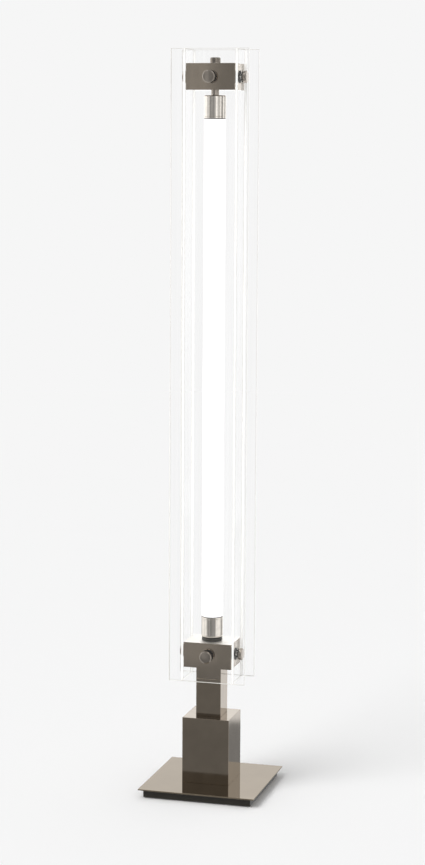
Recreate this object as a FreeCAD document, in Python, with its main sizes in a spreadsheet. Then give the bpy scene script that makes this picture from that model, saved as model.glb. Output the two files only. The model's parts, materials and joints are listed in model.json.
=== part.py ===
import FreeCAD, Part
import math
import os
import Sketcher

# Floor lamp: a lit opal tube standing between two square-edged brackets inside four clear glass plates,
# on a short post, a block and a thin square base. Millimetres, +Z up, origin on the floor under the axis.
# The front is -Y. Each piece is modelled from its own seat and then placed.

SIZES = [
    ("base_side", 242, "side of the square base sheet"),
    ("sheet_thick", 2.5, "thickness of the base sheet"),
    ("plinth_inset", 9, "how far the plinth stands back under the sheet"),
    ("plinth_height", 16, "height of the plinth weight"),
    ("pad_proud", 1.5, "how far a foot pad stands out below the plinth"),
    ("pad_recess", 1.5, "depth of the pocket a foot pad is glued into"),
    ("pad_diameter", 24, "diameter of a foot pad"),
    ("pad_inset", 24, "from a side of the plinth to the middle of a pad"),
    ("recess_side", 84, "side of the square recess under the plinth"),
    ("recess_depth", 10, "depth of that recess"),
    ("cover_thick", 1.2, "thickness of the cover under the plinth"),
    ("cover_lap", 9, "how far the cover laps over the recess on each side"),
    ("inlet_height", 7.5, "height of the cord inlet above the underside of the plinth"),
    ("inlet_bore", 7.5, "bore of the cord inlet"),
    ("gland_diameter", 12, "hole for the gland in the plinth"),
    ("gland_length", 9, "length of the gland inside the plinth"),
    ("gland_flange", 16, "diameter of the gland's flange, cut to clear the sheet"),
    ("gland_flange_thick", 2, "thickness of the gland's flange"),
    ("inlet_duct", 9, "duct from the gland to the recess"),
    ("cable_hole", 10, "hole for the wires through the base into the block"),
    ("cable_hole_offset", 26, "from the axis to the cable hole, towards the right and the front"),
    ("block_width", 98, "width of the block, left to right"),
    ("block_depth", 94, "depth of the block, front to back"),
    ("block_height", 136, "height of the block"),
    ("block_wall", 2.5, "wall of the block"),
    ("block_plate_thick", 4, "locating plate inside the foot of the block"),
    ("screw_inset", 10, "from a side of the locating plate to its screws"),
    ("screw_diameter", 5, "shank of the base screws"),
    ("screw_head", 9.6, "head of the base screws"),
    ("screw_length", 11, "length of the base screws"),
    ("post_side", 52, "side of the square post"),
    ("post_wall", 2.5, "wall of the post"),
    ("post_length", 102.5, "height of the post"),
    ("plug_thick", 6, "thickness of the plug in each end of the post"),
    ("rod_diameter", 13, "outside of the hollow tie rod"),
    ("rod_bore", 9, "bore of the tie rod"),
    ("rod_below_nut", 0.4, "how far the tie rod stands out of its lower nut"),
    ("rod_above_nut", 1.6, "how far the tie rod stands out of its upper nut"),
    ("nut_flats", 19, "width across the flats of the tie rod's nuts"),
    ("nut_thick", 5, "thickness of those nuts"),
    ("rod_washer_diameter", 24, "washer under each of those nuts"),
    ("rod_washer_thick", 1.6, "thickness of that washer"),
    ("bracket_width", 100, "width of a bracket, left to right"),
    ("bracket_depth", 72, "depth of a bracket, front to back"),
    ("bracket_height", 52, "height of a bracket"),
    ("bracket_spacing", 1109, "clear height between the two brackets"),
    ("edge_break", 0.6, "rounding of the brackets' and the block's edges"),
    ("glass_thick", 5, "thickness of the glass plates"),
    ("face_glass_width", 159, "width of the front and back plates"),
    ("side_glass_width", 71, "width of the left and right plates"),
    ("glass_overhang", 28.5, "how far the plates run past the brackets, above and below"),
    ("glass_edge", 0.5, "ground bevel along the edges of the glass"),
    ("glass_hole", 9, "hole in the glass round a knob's stud"),
    ("gasket_diameter", 25, "soft gasket between a bracket and the glass"),
    ("gasket_thick", 0.8, "thickness of that gasket"),
    ("washer_diameter", 22, "washer under a knob's head"),
    ("washer_thick", 1, "thickness of that washer"),
    ("knob_diameter", 25, "head of a knob"),
    ("knob_height", 8, "height of a knob's head"),
    ("knob_edge", 1.5, "bevel round the head of a knob"),
    ("stud_diameter", 6, "threaded stud of a knob"),
    ("stud_engagement", 16, "length of the stud inside the bracket"),
    ("seat_ring_diameter", 42, "dark ring under the lower socket"),
    ("seat_ring_height", 6.5, "height of that ring"),
    ("socket_diameter", 44, "outside of both sockets"),
    ("socket_wall", 2, "wall of both sockets"),
    ("socket_floor", 4, "floor of the lower socket"),
    ("socket_round", 5, "rounding of the closed end of a socket"),
    ("lower_socket_height", 43, "height of the lower socket"),
    ("upper_socket_height", 45, "height of the upper socket"),
    ("upper_socket_top", 8, "thick top of the upper socket, tapped for the spindle"),
    ("holder_height", 22, "insulating holder inside the lower socket"),
    ("holder_lead_hole", 5, "hole for the wires in the holder"),
    ("contact_spacing", 12.7, "between the two contact pins"),
    ("contact_pin", 2.3, "diameter of a contact pin"),
    ("contact_sleeve", 3.4, "outside of the spring sleeve round a pin"),
    ("contact_length", 9, "how far the pins reach into the holder"),
    ("tube_diameter", 42, "outside of the opal tube"),
    ("tube_wall", 2.5, "wall of the opal tube"),
    ("cap_flange", 1.2, "flange of a tube cap, under the end of the tube"),
    ("cap_plug", 10, "length of a cap inside the tube"),
    ("cap_spigot", 6, "length of a cap inside its socket"),
    ("core_side", 16, "side of the aluminium core that carries the light strips"),
    ("core_bore", 8, "bore of that core"),
    ("strip_width", 10, "width of a light strip"),
    ("strip_thick", 1.4, "thickness of a light strip with its chips"),
    ("strip_margin", 8, "from the end of the core to the end of a strip"),
    ("neck_diameter", 16, "shoulder of the spindle that shows as the neck"),
    ("neck_length", 10, "height of the neck between socket and bracket"),
    ("neck_engagement", 12, "length of the shoulder inside the bracket"),
    ("spindle_diameter", 10, "threaded part of the spindle"),
    ("lift_travel", 7.5, "how far the upper socket is drawn up to free the tube"),
    ("top_nut_diameter", 21, "round nut on top of the upper bracket"),
    ("top_nut_height", 11.5, "height of the round nut"),
    ("driver_width", 60, "light driver, left to right"),
    ("driver_depth", 22, "light driver, front to back"),
    ("driver_height", 74, "height of the light driver"),
    ("driver_place", 27, "from the axis back to the middle of the driver"),
    ("driver_foot_gap", 0.5, "under the driver, above the foot of its bracket"),
    ("driver_bracket_thick", 1.5, "sheet of the driver's bracket"),
    ("small_screw", 3, "shank of the driver's screws"),
    ("small_screw_length", 5, "length of those screws"),
    ("small_screw_head", 5.6, "head of those screws"),
    ("small_screw_head_height", 1.8, "height of those heads"),
    ("terminal_width", 30, "terminal block, left to right"),
    ("terminal_depth", 16, "terminal block, front to back"),
    ("terminal_height", 14, "height of the terminal block"),
    ("terminal_place", 24, "from the axis forward to the middle of the terminal block"),
    ("terminal_pitch", 9, "between the poles of the terminal block"),
    ("terminal_entry", 4.7, "height of the wire entries in the terminal block"),
    ("terminal_screw_depth", 7, "depth of the terminal block's screw holes"),
    ("lead_diameter", 3, "lead from the driver to the tube"),
    ("lead_rise", 12, "straight run of the lead out of the driver"),
    ("lead_bend", 12, "radius of the lead's bends"),
    ("slot_width", 5, "width of the slot where the lead enters the tie rod"),
    ("slot_margin", 4, "room for the lead above and below in that slot"),
    ("slide_gap", 0.3, "gap between pieces that move on each other"),
    ("running_gap", 0.05, "radial gap of a stud, spindle or shoulder in its hole"),
    ("fit_gap", 0.3, "gap of a piece that drops into another"),
    ("rod_gap", 0.2, "radial gap round the tie rod"),
    ("overrun", 1, "how far a drill starts outside the face"),
]

SIDES = {"front": (0, -1), "back": (0, 1), "left": (-1, 0), "right": (1, 0)}
UP = (0, 0, 1)
DOWN = (0, 0, -1)


class Size:
    """A length as the expression that the model is bound to, with its present value."""

    def __init__(self, text, value):
        self.text = text
        self.value = value

    def joined(self, sign, other, value):
        return Size(f"({self.text} {sign} {as_size(other).text})", value)

    def __add__(self, other):
        return self.joined("+", other, self.value + as_size(other).value)

    def __sub__(self, other):
        return self.joined("-", other, self.value - as_size(other).value)

    def __mul__(self, factor):
        return self.joined("*", factor, self.value * factor)

    def __truediv__(self, divisor):
        return self.joined("/", divisor, self.value / divisor)

    def __neg__(self):
        return self * -1


def as_size(number):
    return number if isinstance(number, Size) else Size(repr(number), float(number))


doc = FreeCAD.newDocument("floor_lamp")
sheet = doc.addObject("Spreadsheet::Sheet", "sizes")
for row, (alias, value, meaning) in enumerate(SIZES, start=1):
    sheet.set(f"A{row}", alias)
    sheet.set(f"B{row}", str(value))
    sheet.set(f"C{row}", meaning)
    sheet.setAlias(f"B{row}", alias)
doc.recompute()
S = {alias: Size(f"sizes.{alias}", float(value)) for alias, value, meaning in SIZES}
nodes = []


# ---------------------------------------------------------------- helpers

def vector(triple):
    return FreeCAD.Vector(*(as_size(v).value for v in triple))


def bind(thing, path, size):
    """Ties a property to the sizes, or sets it where it is a plain number."""
    thing.setExpression(path, as_size(size).text)


def place(thing, at, towards=UP):
    """Turns a piece's own +Z to a direction and moves its origin to a bound point."""
    turn = FreeCAD.Rotation(FreeCAD.Vector(0, 0, 1), FreeCAD.Vector(*towards))
    thing.Placement = FreeCAD.Placement(vector(at), turn)
    for axis, size in zip("xyz", at):
        bind(thing, f"Placement.Base.{axis}", size)


def keep(thing, label):
    """Names a finished piece, which is then written to its own file."""
    thing.Label = label
    nodes.append(thing)
    return thing


def new_body(label):
    return keep(doc.addObject("PartDesign::Body", label), label)


def new_sketch(body, plane, at=(0, 0, 0)):
    """A sketch on one of the body's own planes, moved by bound distances in that plane's frame."""
    sketch = body.newObject("Sketcher::SketchObject", f"{body.Name}_sketch")
    datum = next(f for f in body.Origin.OriginFeatures if f.Role == plane)
    sketch.AttachmentSupport = [(datum, "")]
    sketch.MapMode = "FlatFace"
    for axis, size in zip("xyz", at):
        bind(sketch, f"AttachmentOffset.Base.{axis}", size)
    return sketch


def closed_lines(sketch, corners):
    """Straight edges through the corners, joined end to end."""
    count = len(corners)
    for i in range(count):
        sketch.addGeometry(Part.LineSegment(corners[i], corners[(i + 1) % count]), False)
    for i in range(count):
        sketch.addConstraint(Sketcher.Constraint("Coincident", i, 2, (i + 1) % count, 1))


def rectangle(sketch, width, depth):
    """A rectangle centred on the sketch's origin, with its two sides bound."""
    half_w = as_size(width).value / 2
    half_d = as_size(depth).value / 2
    signs = [(-1, -1), (1, -1), (1, 1), (-1, 1)]
    closed_lines(sketch, [FreeCAD.Vector(x * half_w, y * half_d, 0) for x, y in signs])
    for line in (0, 2):
        sketch.addConstraint(Sketcher.Constraint("Horizontal", line))
    for line in (1, 3):
        sketch.addConstraint(Sketcher.Constraint("Vertical", line))
    sketch.addConstraint(Sketcher.Constraint("Symmetric", 0, 1, 1, 2, -1, 1))
    across = sketch.addConstraint(Sketcher.Constraint("DistanceX", 0, 1, 0, 2, 2 * half_w))
    along = sketch.addConstraint(Sketcher.Constraint("DistanceY", 1, 1, 1, 2, 2 * half_d))
    bind(sketch, f"Constraints[{across}]", width)
    bind(sketch, f"Constraints[{along}]", depth)


def add_slab(body, width, depth, height, at=(0, 0, 0)):
    """Pads a rectangle upwards from its level."""
    sketch = new_sketch(body, "XY_Plane", at)
    rectangle(sketch, width, depth)
    pad = body.newObject("PartDesign::Pad", f"{body.Name}_pad")
    pad.Profile = sketch
    bind(pad, "Length", height)


def checked_cut(body, before):
    doc.recompute()
    if not body.Shape.Volume < before:
        raise RuntimeError(f"a cut in {body.Label} removes nothing")


def sink(body, width, depth, cut_depth, at=(0, 0, 0)):
    """Pockets a rectangle upwards from its level, from below."""
    doc.recompute()
    before = body.Shape.Volume
    sketch = new_sketch(body, "XY_Plane", at)
    rectangle(sketch, width, depth)
    pocket = body.newObject("PartDesign::Pocket", f"{body.Name}_pocket")
    pocket.Profile = sketch
    pocket.Reversed = True
    bind(pocket, "Length", cut_depth)
    checked_cut(body, before)


def drill(body, diameter, start, way, depth):
    """A round hole from a point on a face, started a little outside it."""
    doc.recompute()
    before = body.Shape.Volume
    hole = body.newObject("PartDesign::SubtractiveCylinder", f"{body.Name}_hole")
    outside = [as_size(s) - S["overrun"] * w if w else as_size(s) for s, w in zip(start, way)]
    place(hole, outside, way)
    bind(hole, "Radius", as_size(diameter) / 2)
    bind(hole, "Height", as_size(depth) + S["overrun"])
    checked_cut(body, before)


def turned(label, profile):
    """A turned piece: closed (radius, height) corners spun about the piece's own Z axis."""
    body = new_body(label)
    sketch = new_sketch(body, "XZ_Plane")
    corners = [(as_size(r), as_size(z)) for r, z in profile]
    closed_lines(sketch, [FreeCAD.Vector(r.value, z.value, 0) for r, z in corners])
    for i, (r, z) in enumerate(corners):
        if r.value == 0:
            sketch.addConstraint(Sketcher.Constraint("PointOnObject", i, 1, -2))
        else:
            across = sketch.addConstraint(Sketcher.Constraint("DistanceX", -1, 1, i, 1, r.value))
            bind(sketch, f"Constraints[{across}]", r)
        if z.value == 0:
            sketch.addConstraint(Sketcher.Constraint("PointOnObject", i, 1, -1))
        else:
            along = sketch.addConstraint(Sketcher.Constraint("DistanceY", -1, 1, i, 1, z.value))
            bind(sketch, f"Constraints[{along}]", z)
    spin = body.newObject("PartDesign::Revolution", f"{body.Name}_spin")
    spin.Profile = sketch
    spin.ReferenceAxis = (sketch, ["V_Axis"])
    spin.Angle = 360
    return body


def dress(body, kind, size, picks):
    """Rounds or bevels the edges that a test picks."""
    doc.recompute()
    names = [f"Edge{i}" for i, edge in enumerate(body.Shape.Edges, start=1) if picks(edge)]
    if not names:
        raise RuntimeError(f"no edge of {body.Label} is picked")
    base = body.Tip
    feature = body.newObject(f"PartDesign::{kind}", f"{body.Name}_{kind.lower()}")
    feature.Base = (base, names)
    bind(feature, "Radius" if kind == "Fillet" else "Size", size)
    doc.recompute()


def is_straight(edge):
    return isinstance(edge.Curve, (Part.Line, Part.LineSegment))


def on_box_corner(width, depth):
    """Picks straight upright edges at the corners of a centred rectangle."""
    half = (as_size(width).value / 2, as_size(depth).value / 2)

    def picks(edge):
        middle = edge.BoundBox.Center
        upright = is_straight(edge) and edge.BoundBox.XLength < 0.01 and edge.BoundBox.YLength < 0.01
        return upright and abs(abs(middle.x) - half[0]) < 0.01 and abs(abs(middle.y) - half[1]) < 0.01
    return picks


def on_circle(diameter, level):
    """Picks the circle of a diameter at a height."""
    radius = as_size(diameter).value / 2
    height = as_size(level).value

    def picks(edge):
        round_edge = isinstance(edge.Curve, Part.Circle) and abs(edge.Curve.Radius - radius) < 0.01
        return round_edge and abs(edge.BoundBox.Center.z - height) < 0.01
    return picks


def primitive(kind, name, at=(0, 0, 0), towards=UP, **properties):
    """A Part primitive with its sizes bound."""
    thing = doc.addObject(f"Part::{kind}", name)
    for path, size in properties.items():
        bind(thing, path, size)
    place(thing, at, towards)
    return thing


def less(name, base, tool, at=(0, 0, 0), towards=UP):
    thing = doc.addObject("Part::Cut", name)
    thing.Base = base
    thing.Tool = tool
    place(thing, at, towards)
    return thing


def ring(name, outer, inner, thick, at, towards=UP):
    """A flat ring, drilled through."""
    disc = primitive("Cylinder", f"{name}_disc", Radius=as_size(outer) / 2, Height=thick)
    hole = primitive("Cylinder", f"{name}_hole", at=(0, 0, -S["overrun"]),
                     Radius=as_size(inner) / 2, Height=as_size(thick) + S["overrun"] * 2)
    return less(name, disc, hole, at, towards)


def group(label, things):
    """Alike pieces that share one node, each its own solid."""
    gathered = doc.addObject("Part::Compound", label)
    gathered.Links = things
    return keep(gathered, label)


def screw(name, head, head_height, shank, length, at, towards, head_base=None):
    """A screw whose head stands on its origin; its shank points against the given direction."""
    top = primitive("Cone", f"{name}_head", Radius1=as_size(head_base or head) / 2,
                    Radius2=as_size(head) / 2, Height=head_height)
    stem = primitive("Cylinder", f"{name}_shank", at=(0, 0, -as_size(length)),
                     Radius=as_size(shank) / 2, Height=as_size(length) + as_size(head_height) / 2)
    whole = doc.addObject("Part::Fuse", name)
    whole.Base = top
    whole.Tool = stem
    place(whole, at, towards)
    return whole


def corners_of(half_x, half_y):
    return [(half_x * i, half_y * j) for i in (-1, 1) for j in (-1, 1)]


# ---------------------------------------------------------------- levels, from the floor up

plinth_side = S["base_side"] - S["plinth_inset"] * 2
plinth_half = plinth_side / 2
plinth_foot = S["pad_proud"]
sheet_foot = plinth_foot + S["plinth_height"]
block_foot = sheet_foot + S["sheet_thick"]
post_foot = block_foot + S["block_height"]
lower_bracket_foot = post_foot + S["post_length"]
lower_bracket_top = lower_bracket_foot + S["bracket_height"]
upper_bracket_foot = lower_bracket_top + S["bracket_spacing"]
upper_bracket_top = upper_bracket_foot + S["bracket_height"]
bracket_foot = {"lower": lower_bracket_foot, "upper": upper_bracket_foot}
stud_height = S["bracket_height"] / 2

lower_socket_foot = lower_bracket_top + S["seat_ring_height"]
lower_socket_rim = lower_socket_foot + S["lower_socket_height"]
upper_socket_top = upper_bracket_foot - S["neck_length"]
upper_socket_rim = upper_socket_top - S["upper_socket_height"]
tube_foot = lower_socket_rim + S["cap_flange"]
tube_top = upper_socket_rim - S["slide_gap"] - S["cap_flange"]
tube_length = tube_top - tube_foot
tube_bore = S["tube_diameter"] - S["tube_wall"] * 2
socket_bore = S["socket_diameter"] - S["socket_wall"] * 2

rod_hole = S["rod_diameter"] + S["rod_gap"] * 2
recess_top = plinth_foot + S["recess_depth"]
lower_nut_foot = recess_top - S["rod_washer_thick"] - S["nut_thick"]
rod_foot = lower_nut_foot - S["rod_below_nut"]
socket_floor_top = lower_socket_foot + S["socket_floor"]
upper_nut_foot = socket_floor_top + S["rod_washer_thick"]
rod_top = upper_nut_foot + S["nut_thick"] + S["rod_above_nut"]

block_plate_top = block_foot + S["block_plate_thick"]
block_bore_width = S["block_width"] - S["block_wall"] * 2
block_bore_depth = S["block_depth"] - S["block_wall"] * 2
cable_x = S["cable_hole_offset"]
cable_y = -S["cable_hole_offset"]
plate_width = block_bore_width - S["fit_gap"] * 2
plate_depth = block_bore_depth - S["fit_gap"] * 2
screw_x = plate_width / 2 - S["screw_inset"]
screw_y = plate_depth / 2 - S["screw_inset"]
screw_head_height = (S["screw_head"] - S["screw_diameter"]) / 2


# ---------------------------------------------------------------- base

def make_plinth():
    """Ballast plate with the recess for the rod's nut, the cord duct and the pockets for the pads."""
    body = new_body("plinth_weight")
    add_slab(body, plinth_side, plinth_side, S["plinth_height"])
    cover_side = S["recess_side"] + S["cover_lap"] * 2 + S["fit_gap"] * 2
    sink(body, cover_side, cover_side, S["cover_thick"] + S["fit_gap"])
    sink(body, S["recess_side"], S["recess_side"], S["recess_depth"])
    drill(body, rod_hole, (0, 0, 0), UP, S["plinth_height"] + S["overrun"])
    drill(body, S["cable_hole"], (cable_x, cable_y, 0), UP, S["plinth_height"] + S["overrun"])
    back = (0, plinth_half, S["inlet_height"])
    drill(body, S["gland_diameter"] + S["running_gap"] * 2, back, (0, -1, 0), S["gland_length"])
    drill(body, S["inlet_duct"], back, (0, -1, 0), plinth_half - S["recess_side"] / 2 + S["overrun"])
    pad_place = plinth_half - S["pad_inset"]
    for x, y in corners_of(pad_place, pad_place):
        drill(body, S["pad_diameter"] + S["fit_gap"] * 2, (x, y, 0), UP, S["pad_recess"])
    thread = S["screw_diameter"] + S["running_gap"] * 2
    for x, y in corners_of(screw_x, screw_y):
        drill(body, thread, (x, y, S["plinth_height"]), DOWN, S["plinth_height"] - S["recess_depth"])
    place(body, (0, 0, plinth_foot))


def make_foot_pads():
    """Four soft pads that stand on the floor."""
    pad_place = plinth_half - S["pad_inset"]
    pads = [primitive("Cylinder", f"foot_pad_{i}", at=(x, y, 0), Radius=S["pad_diameter"] / 2,
                      Height=S["pad_proud"] + S["pad_recess"])
            for i, (x, y) in enumerate(corners_of(pad_place, pad_place), start=1)]
    group("foot_pads", pads)


def make_underside_cover():
    """Thin plate that closes the recess from below."""
    body = new_body("underside_cover")
    side = S["recess_side"] + S["cover_lap"] * 2
    add_slab(body, side, side, S["cover_thick"])
    place(body, (0, 0, plinth_foot + S["fit_gap"]))


def make_base_sheet():
    """Thin polished sheet over the plinth."""
    body = new_body("base_top_sheet")
    add_slab(body, S["base_side"], S["base_side"], S["sheet_thick"])
    drill(body, rod_hole, (0, 0, 0), UP, S["sheet_thick"] + S["overrun"])
    drill(body, S["cable_hole"], (cable_x, cable_y, 0), UP, S["sheet_thick"] + S["overrun"])
    for x, y in corners_of(screw_x, screw_y):
        drill(body, S["screw_diameter"] + S["rod_gap"] * 2, (x, y, 0), UP, S["sheet_thick"] + S["overrun"])
    place(body, (0, 0, sheet_foot))


def make_block_plate():
    """Plate inside the foot of the block: it locates the block and clamps the sheet to the plinth."""
    body = new_body("block_base_plate")
    add_slab(body, plate_width, plate_depth, S["block_plate_thick"])
    through = S["block_plate_thick"] + S["overrun"]
    drill(body, rod_hole, (0, 0, 0), UP, through)
    drill(body, S["cable_hole"], (cable_x, cable_y, 0), UP, through)
    for x, y in corners_of(screw_x, screw_y):
        drill(body, S["screw_diameter"] + S["rod_gap"] * 2, (x, y, 0), UP, through)
        seat = (x, y, S["block_plate_thick"])
        drill(body, S["screw_head"] + S["fit_gap"] * 2, seat, DOWN, screw_head_height)
    place(body, (0, 0, block_foot))


def make_base_screws():
    """Four screws through the locating plate and the sheet into the plinth."""
    seat = block_plate_top - screw_head_height
    screws = [screw(f"base_screw_{i}", S["screw_head"], screw_head_height, S["screw_diameter"],
                    S["screw_length"] - screw_head_height, (x, y, seat), UP, S["screw_diameter"])
              for i, (x, y) in enumerate(corners_of(screw_x, screw_y), start=1)]
    group("base_screws", screws)


def make_cord_gland():
    """Insulating bush at the back of the plinth, where a cord would go in."""
    bore = S["inlet_bore"] / 2
    sleeve = S["gland_diameter"] / 2
    flange = S["gland_flange"] / 2
    body = turned("cord_gland", [
        (bore, -S["gland_length"]), (sleeve, -S["gland_length"]), (sleeve, 0), (flange, 0),
        (flange, S["gland_flange_thick"]), (bore, S["gland_flange_thick"]),
    ])
    place(body, (0, plinth_half, plinth_foot + S["inlet_height"]), (0, 1, 0))


# ---------------------------------------------------------------- block and what it holds

def make_block():
    """Folded and welded box, open below, that hides the driver."""
    body = new_body("block_shell")
    add_slab(body, S["block_width"], S["block_depth"], S["block_height"])
    dress(body, "Fillet", S["edge_break"], on_box_corner(S["block_width"], S["block_depth"]))
    dress(body, "Fillet", S["edge_break"], lambda edge: edge.BoundBox.ZMin > S["block_height"].value - 0.01)
    sink(body, block_bore_width, block_bore_depth, S["block_height"] - S["block_wall"])
    drill(body, rod_hole, (0, 0, 0), UP, S["block_height"] + S["overrun"])
    place(body, (0, 0, block_foot))


driver_foot = block_plate_top + S["driver_bracket_thick"] + S["driver_foot_gap"]
driver_back = S["driver_place"] + S["driver_depth"] / 2
leg_front = driver_back + S["fit_gap"]
driver_screw_height = S["driver_height"] / 2
driver_screw_x = S["driver_width"] / 2 - S["small_screw_head"] * 2


def make_driver():
    """Closed box that feeds the light strips."""
    body = new_body("driver")
    add_slab(body, S["driver_width"], S["driver_depth"], S["driver_height"])
    depth = S["small_screw_length"]
    for side in (-1, 1):
        start = (driver_screw_x * side, S["driver_depth"] / 2, driver_screw_height)
        drill(body, S["small_screw"] + S["running_gap"] * 2, start, (0, -1, 0), depth)
    place(body, (0, S["driver_place"], driver_foot))


def make_driver_bracket():
    """Bent sheet: a foot under the driver and a leg behind it."""
    body = new_body("driver_bracket")
    thick = S["driver_bracket_thick"]
    foot_depth = S["driver_depth"] + S["fit_gap"]
    add_slab(body, S["driver_width"], foot_depth, thick, (0, -foot_depth / 2, 0))
    add_slab(body, S["driver_width"], thick, S["driver_height"], (0, thick / 2, 0))
    for side in (-1, 1):
        start = (driver_screw_x * side, thick, driver_foot - block_plate_top + driver_screw_height)
        drill(body, S["small_screw"] + S["rod_gap"] * 2, start, (0, -1, 0), thick + S["overrun"])
    place(body, (0, leg_front, block_plate_top))


def make_driver_screws():
    """Two screws through the leg into the driver."""
    back = leg_front + S["driver_bracket_thick"]
    level = driver_foot + driver_screw_height
    screws = [screw(f"driver_screw_{i}", S["small_screw_head"], S["small_screw_head_height"],
                    S["small_screw"], S["small_screw_length"], (driver_screw_x * side, back, level), (0, 1, 0))
              for i, side in enumerate((-1, 1), start=1)]
    group("driver_screws", screws)


def make_terminal_block():
    """Three-pole screw terminal on the locating plate."""
    body = new_body("terminal_block")
    add_slab(body, S["terminal_width"], S["terminal_depth"], S["terminal_height"])
    for pole in (-1, 0, 1):
        x = S["terminal_pitch"] * pole
        wire = (x, -S["terminal_depth"] / 2, S["terminal_entry"])
        drill(body, S["lead_diameter"], wire, (0, 1, 0), S["terminal_depth"] + S["overrun"])
        drill(body, S["small_screw"], (x, 0, S["terminal_height"]), DOWN, S["terminal_screw_depth"])
    place(body, (-S["terminal_width"] / 2, -S["terminal_place"], block_plate_top))


# ---------------------------------------------------------------- post and tie rod

def make_post():
    """Square tube between the block and the lower bracket."""
    body = new_body("post")
    add_slab(body, S["post_side"], S["post_side"], S["post_length"])
    dress(body, "Fillet", S["edge_break"], on_box_corner(S["post_side"], S["post_side"]))
    bore = S["post_side"] - S["post_wall"] * 2
    sink(body, bore, bore, S["post_length"] + S["overrun"], (0, 0, -S["overrun"] / 2))
    place(body, (0, 0, post_foot))


def make_post_plugs():
    """Square plugs that centre both ends of the post on the tie rod."""
    side = S["post_side"] - S["post_wall"] * 2 - S["fit_gap"] * 2
    plugs = []
    for name, level in (("lower", post_foot), ("upper", lower_bracket_foot - S["plug_thick"])):
        block = primitive("Box", f"post_plug_{name}_block", at=(-side / 2, -side / 2, 0),
                          Length=side, Width=side, Height=S["plug_thick"])
        hole = primitive("Cylinder", f"post_plug_{name}_hole", at=(0, 0, -S["overrun"]),
                         Radius=rod_hole / 2, Height=S["plug_thick"] + S["overrun"] * 2)
        plugs.append(less(f"post_plug_{name}", block, hole, (0, 0, level)))
    group("post_plugs", plugs)


driver_top = driver_foot + S["driver_height"]
lead_turn_low = driver_top + S["lead_rise"]
lead_turn_high = lead_turn_low + S["driver_place"]
holder_foot = lower_socket_rim - S["cap_spigot"] - S["fit_gap"] - S["holder_height"]


def make_tie_rod():
    """Hollow threaded rod that clamps base, block, post, lower bracket and lower socket together."""
    outer = S["rod_diameter"] / 2
    inner = S["rod_bore"] / 2
    length = rod_top - rod_foot
    body = turned("tie_rod", [(inner, 0), (outer, 0), (outer, length), (inner, length)])
    # The lead crosses the wall on a slope of one in one, so the slot is as tall as the wall's far side.
    slot_foot = lead_turn_high - outer - S["lead_diameter"] / 2 - S["slot_margin"] - rod_foot
    slot_height = outer + S["lead_diameter"] + S["slot_margin"] * 2
    sink(body, S["slot_width"], outer, slot_height, (0, outer / 2 + S["overrun"], slot_foot))
    place(body, (0, 0, rod_foot))


def hex_nut(name, level):
    block = primitive("Prism", f"{name}_block", Circumradius=S["nut_flats"] / math.sqrt(3),
                      Height=S["nut_thick"])
    hole = primitive("Cylinder", f"{name}_hole", at=(0, 0, -S["overrun"]),
                     Radius=S["rod_diameter"] / 2 + S["running_gap"],
                     Height=S["nut_thick"] + S["overrun"] * 2)
    return less(name, block, hole, (0, 0, level))


def make_rod_fasteners():
    """A nut and a washer at each end of the tie rod."""
    group("rod_nuts", [hex_nut("rod_nut_lower", lower_nut_foot), hex_nut("rod_nut_upper", upper_nut_foot)])
    levels = (("lower", recess_top - S["rod_washer_thick"]), ("upper", socket_floor_top))
    washers = [ring(f"rod_washer_{name}", S["rod_washer_diameter"], rod_hole, S["rod_washer_thick"],
                    (0, 0, level)) for name, level in levels]
    group("rod_washers", washers)


def make_light_lead():
    """Lead from the driver, through the slot and up inside the tie rod to the holder."""
    bend = S["lead_bend"].value
    start = FreeCAD.Vector(0, S["driver_place"].value, driver_top.value)
    low = FreeCAD.Vector(0, S["driver_place"].value, lead_turn_low.value)
    high = FreeCAD.Vector(0, 0, lead_turn_high.value)
    end = FreeCAD.Vector(0, 0, holder_foot.value)
    turn = math.pi / 4
    reach = bend * math.tan(turn / 2)
    edges = []
    here = start
    for before, corner, after in ((start, low, high), (low, high, end)):
        into = (corner - before).normalize()
        out = (after - corner).normalize()
        leave = corner - into * reach
        arrive = corner + out * reach
        middle = corner + (out - into).normalize() * (bend / math.cos(turn / 2) - bend)
        edges.append(Part.LineSegment(here, leave).toShape())
        edges.append(Part.Arc(leave, middle, arrive).toShape())
        here = arrive
    edges.append(Part.LineSegment(here, end).toShape())
    path = Part.Wire(edges)
    circle = Part.Circle(start, FreeCAD.Vector(0, 0, 1), S["lead_diameter"].value / 2)
    section = Part.Wire([circle.toShape()])
    lead = doc.addObject("Part::Feature", "light_lead")
    lead.Shape = path.makePipeShell([section], True, False)
    lead.Placement = FreeCAD.Placement()
    keep(lead, "light_lead")


# ---------------------------------------------------------------- brackets and sockets

def make_bracket(level_name):
    """Square-edged metal block with a threaded hole in each side for a knob."""
    body = new_body(f"{level_name}_bracket")
    width, depth, height = S["bracket_width"], S["bracket_depth"], S["bracket_height"]
    add_slab(body, width, depth, height)
    dress(body, "Fillet", S["edge_break"], on_box_corner(width, depth))
    dress(body, "Fillet", S["edge_break"],
          lambda edge: edge.BoundBox.ZLength < 0.01)
    for x, y in SIDES.values():
        face = (width / 2 * x, depth / 2 * y, stud_height)
        drill(body, S["stud_diameter"] + S["running_gap"] * 2, face, (-x, -y, 0),
              S["stud_engagement"] + S["overrun"])
    place(body, (0, 0, bracket_foot[level_name]))
    return body


def make_lower_bracket():
    body = make_bracket("lower")
    drill(body, rod_hole, (0, 0, 0), UP, S["bracket_height"] + S["overrun"])


def make_upper_bracket():
    """The shoulder of the spindle slides up into the larger bore from below."""
    body = make_bracket("upper")
    through = S["bracket_height"] + S["overrun"]
    drill(body, S["spindle_diameter"] + S["running_gap"] * 2, (0, 0, 0), UP, through)
    drill(body, S["neck_diameter"] + S["running_gap"] * 2, (0, 0, 0), UP,
          S["neck_engagement"] + S["lift_travel"] + S["slide_gap"] * 2)


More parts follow.
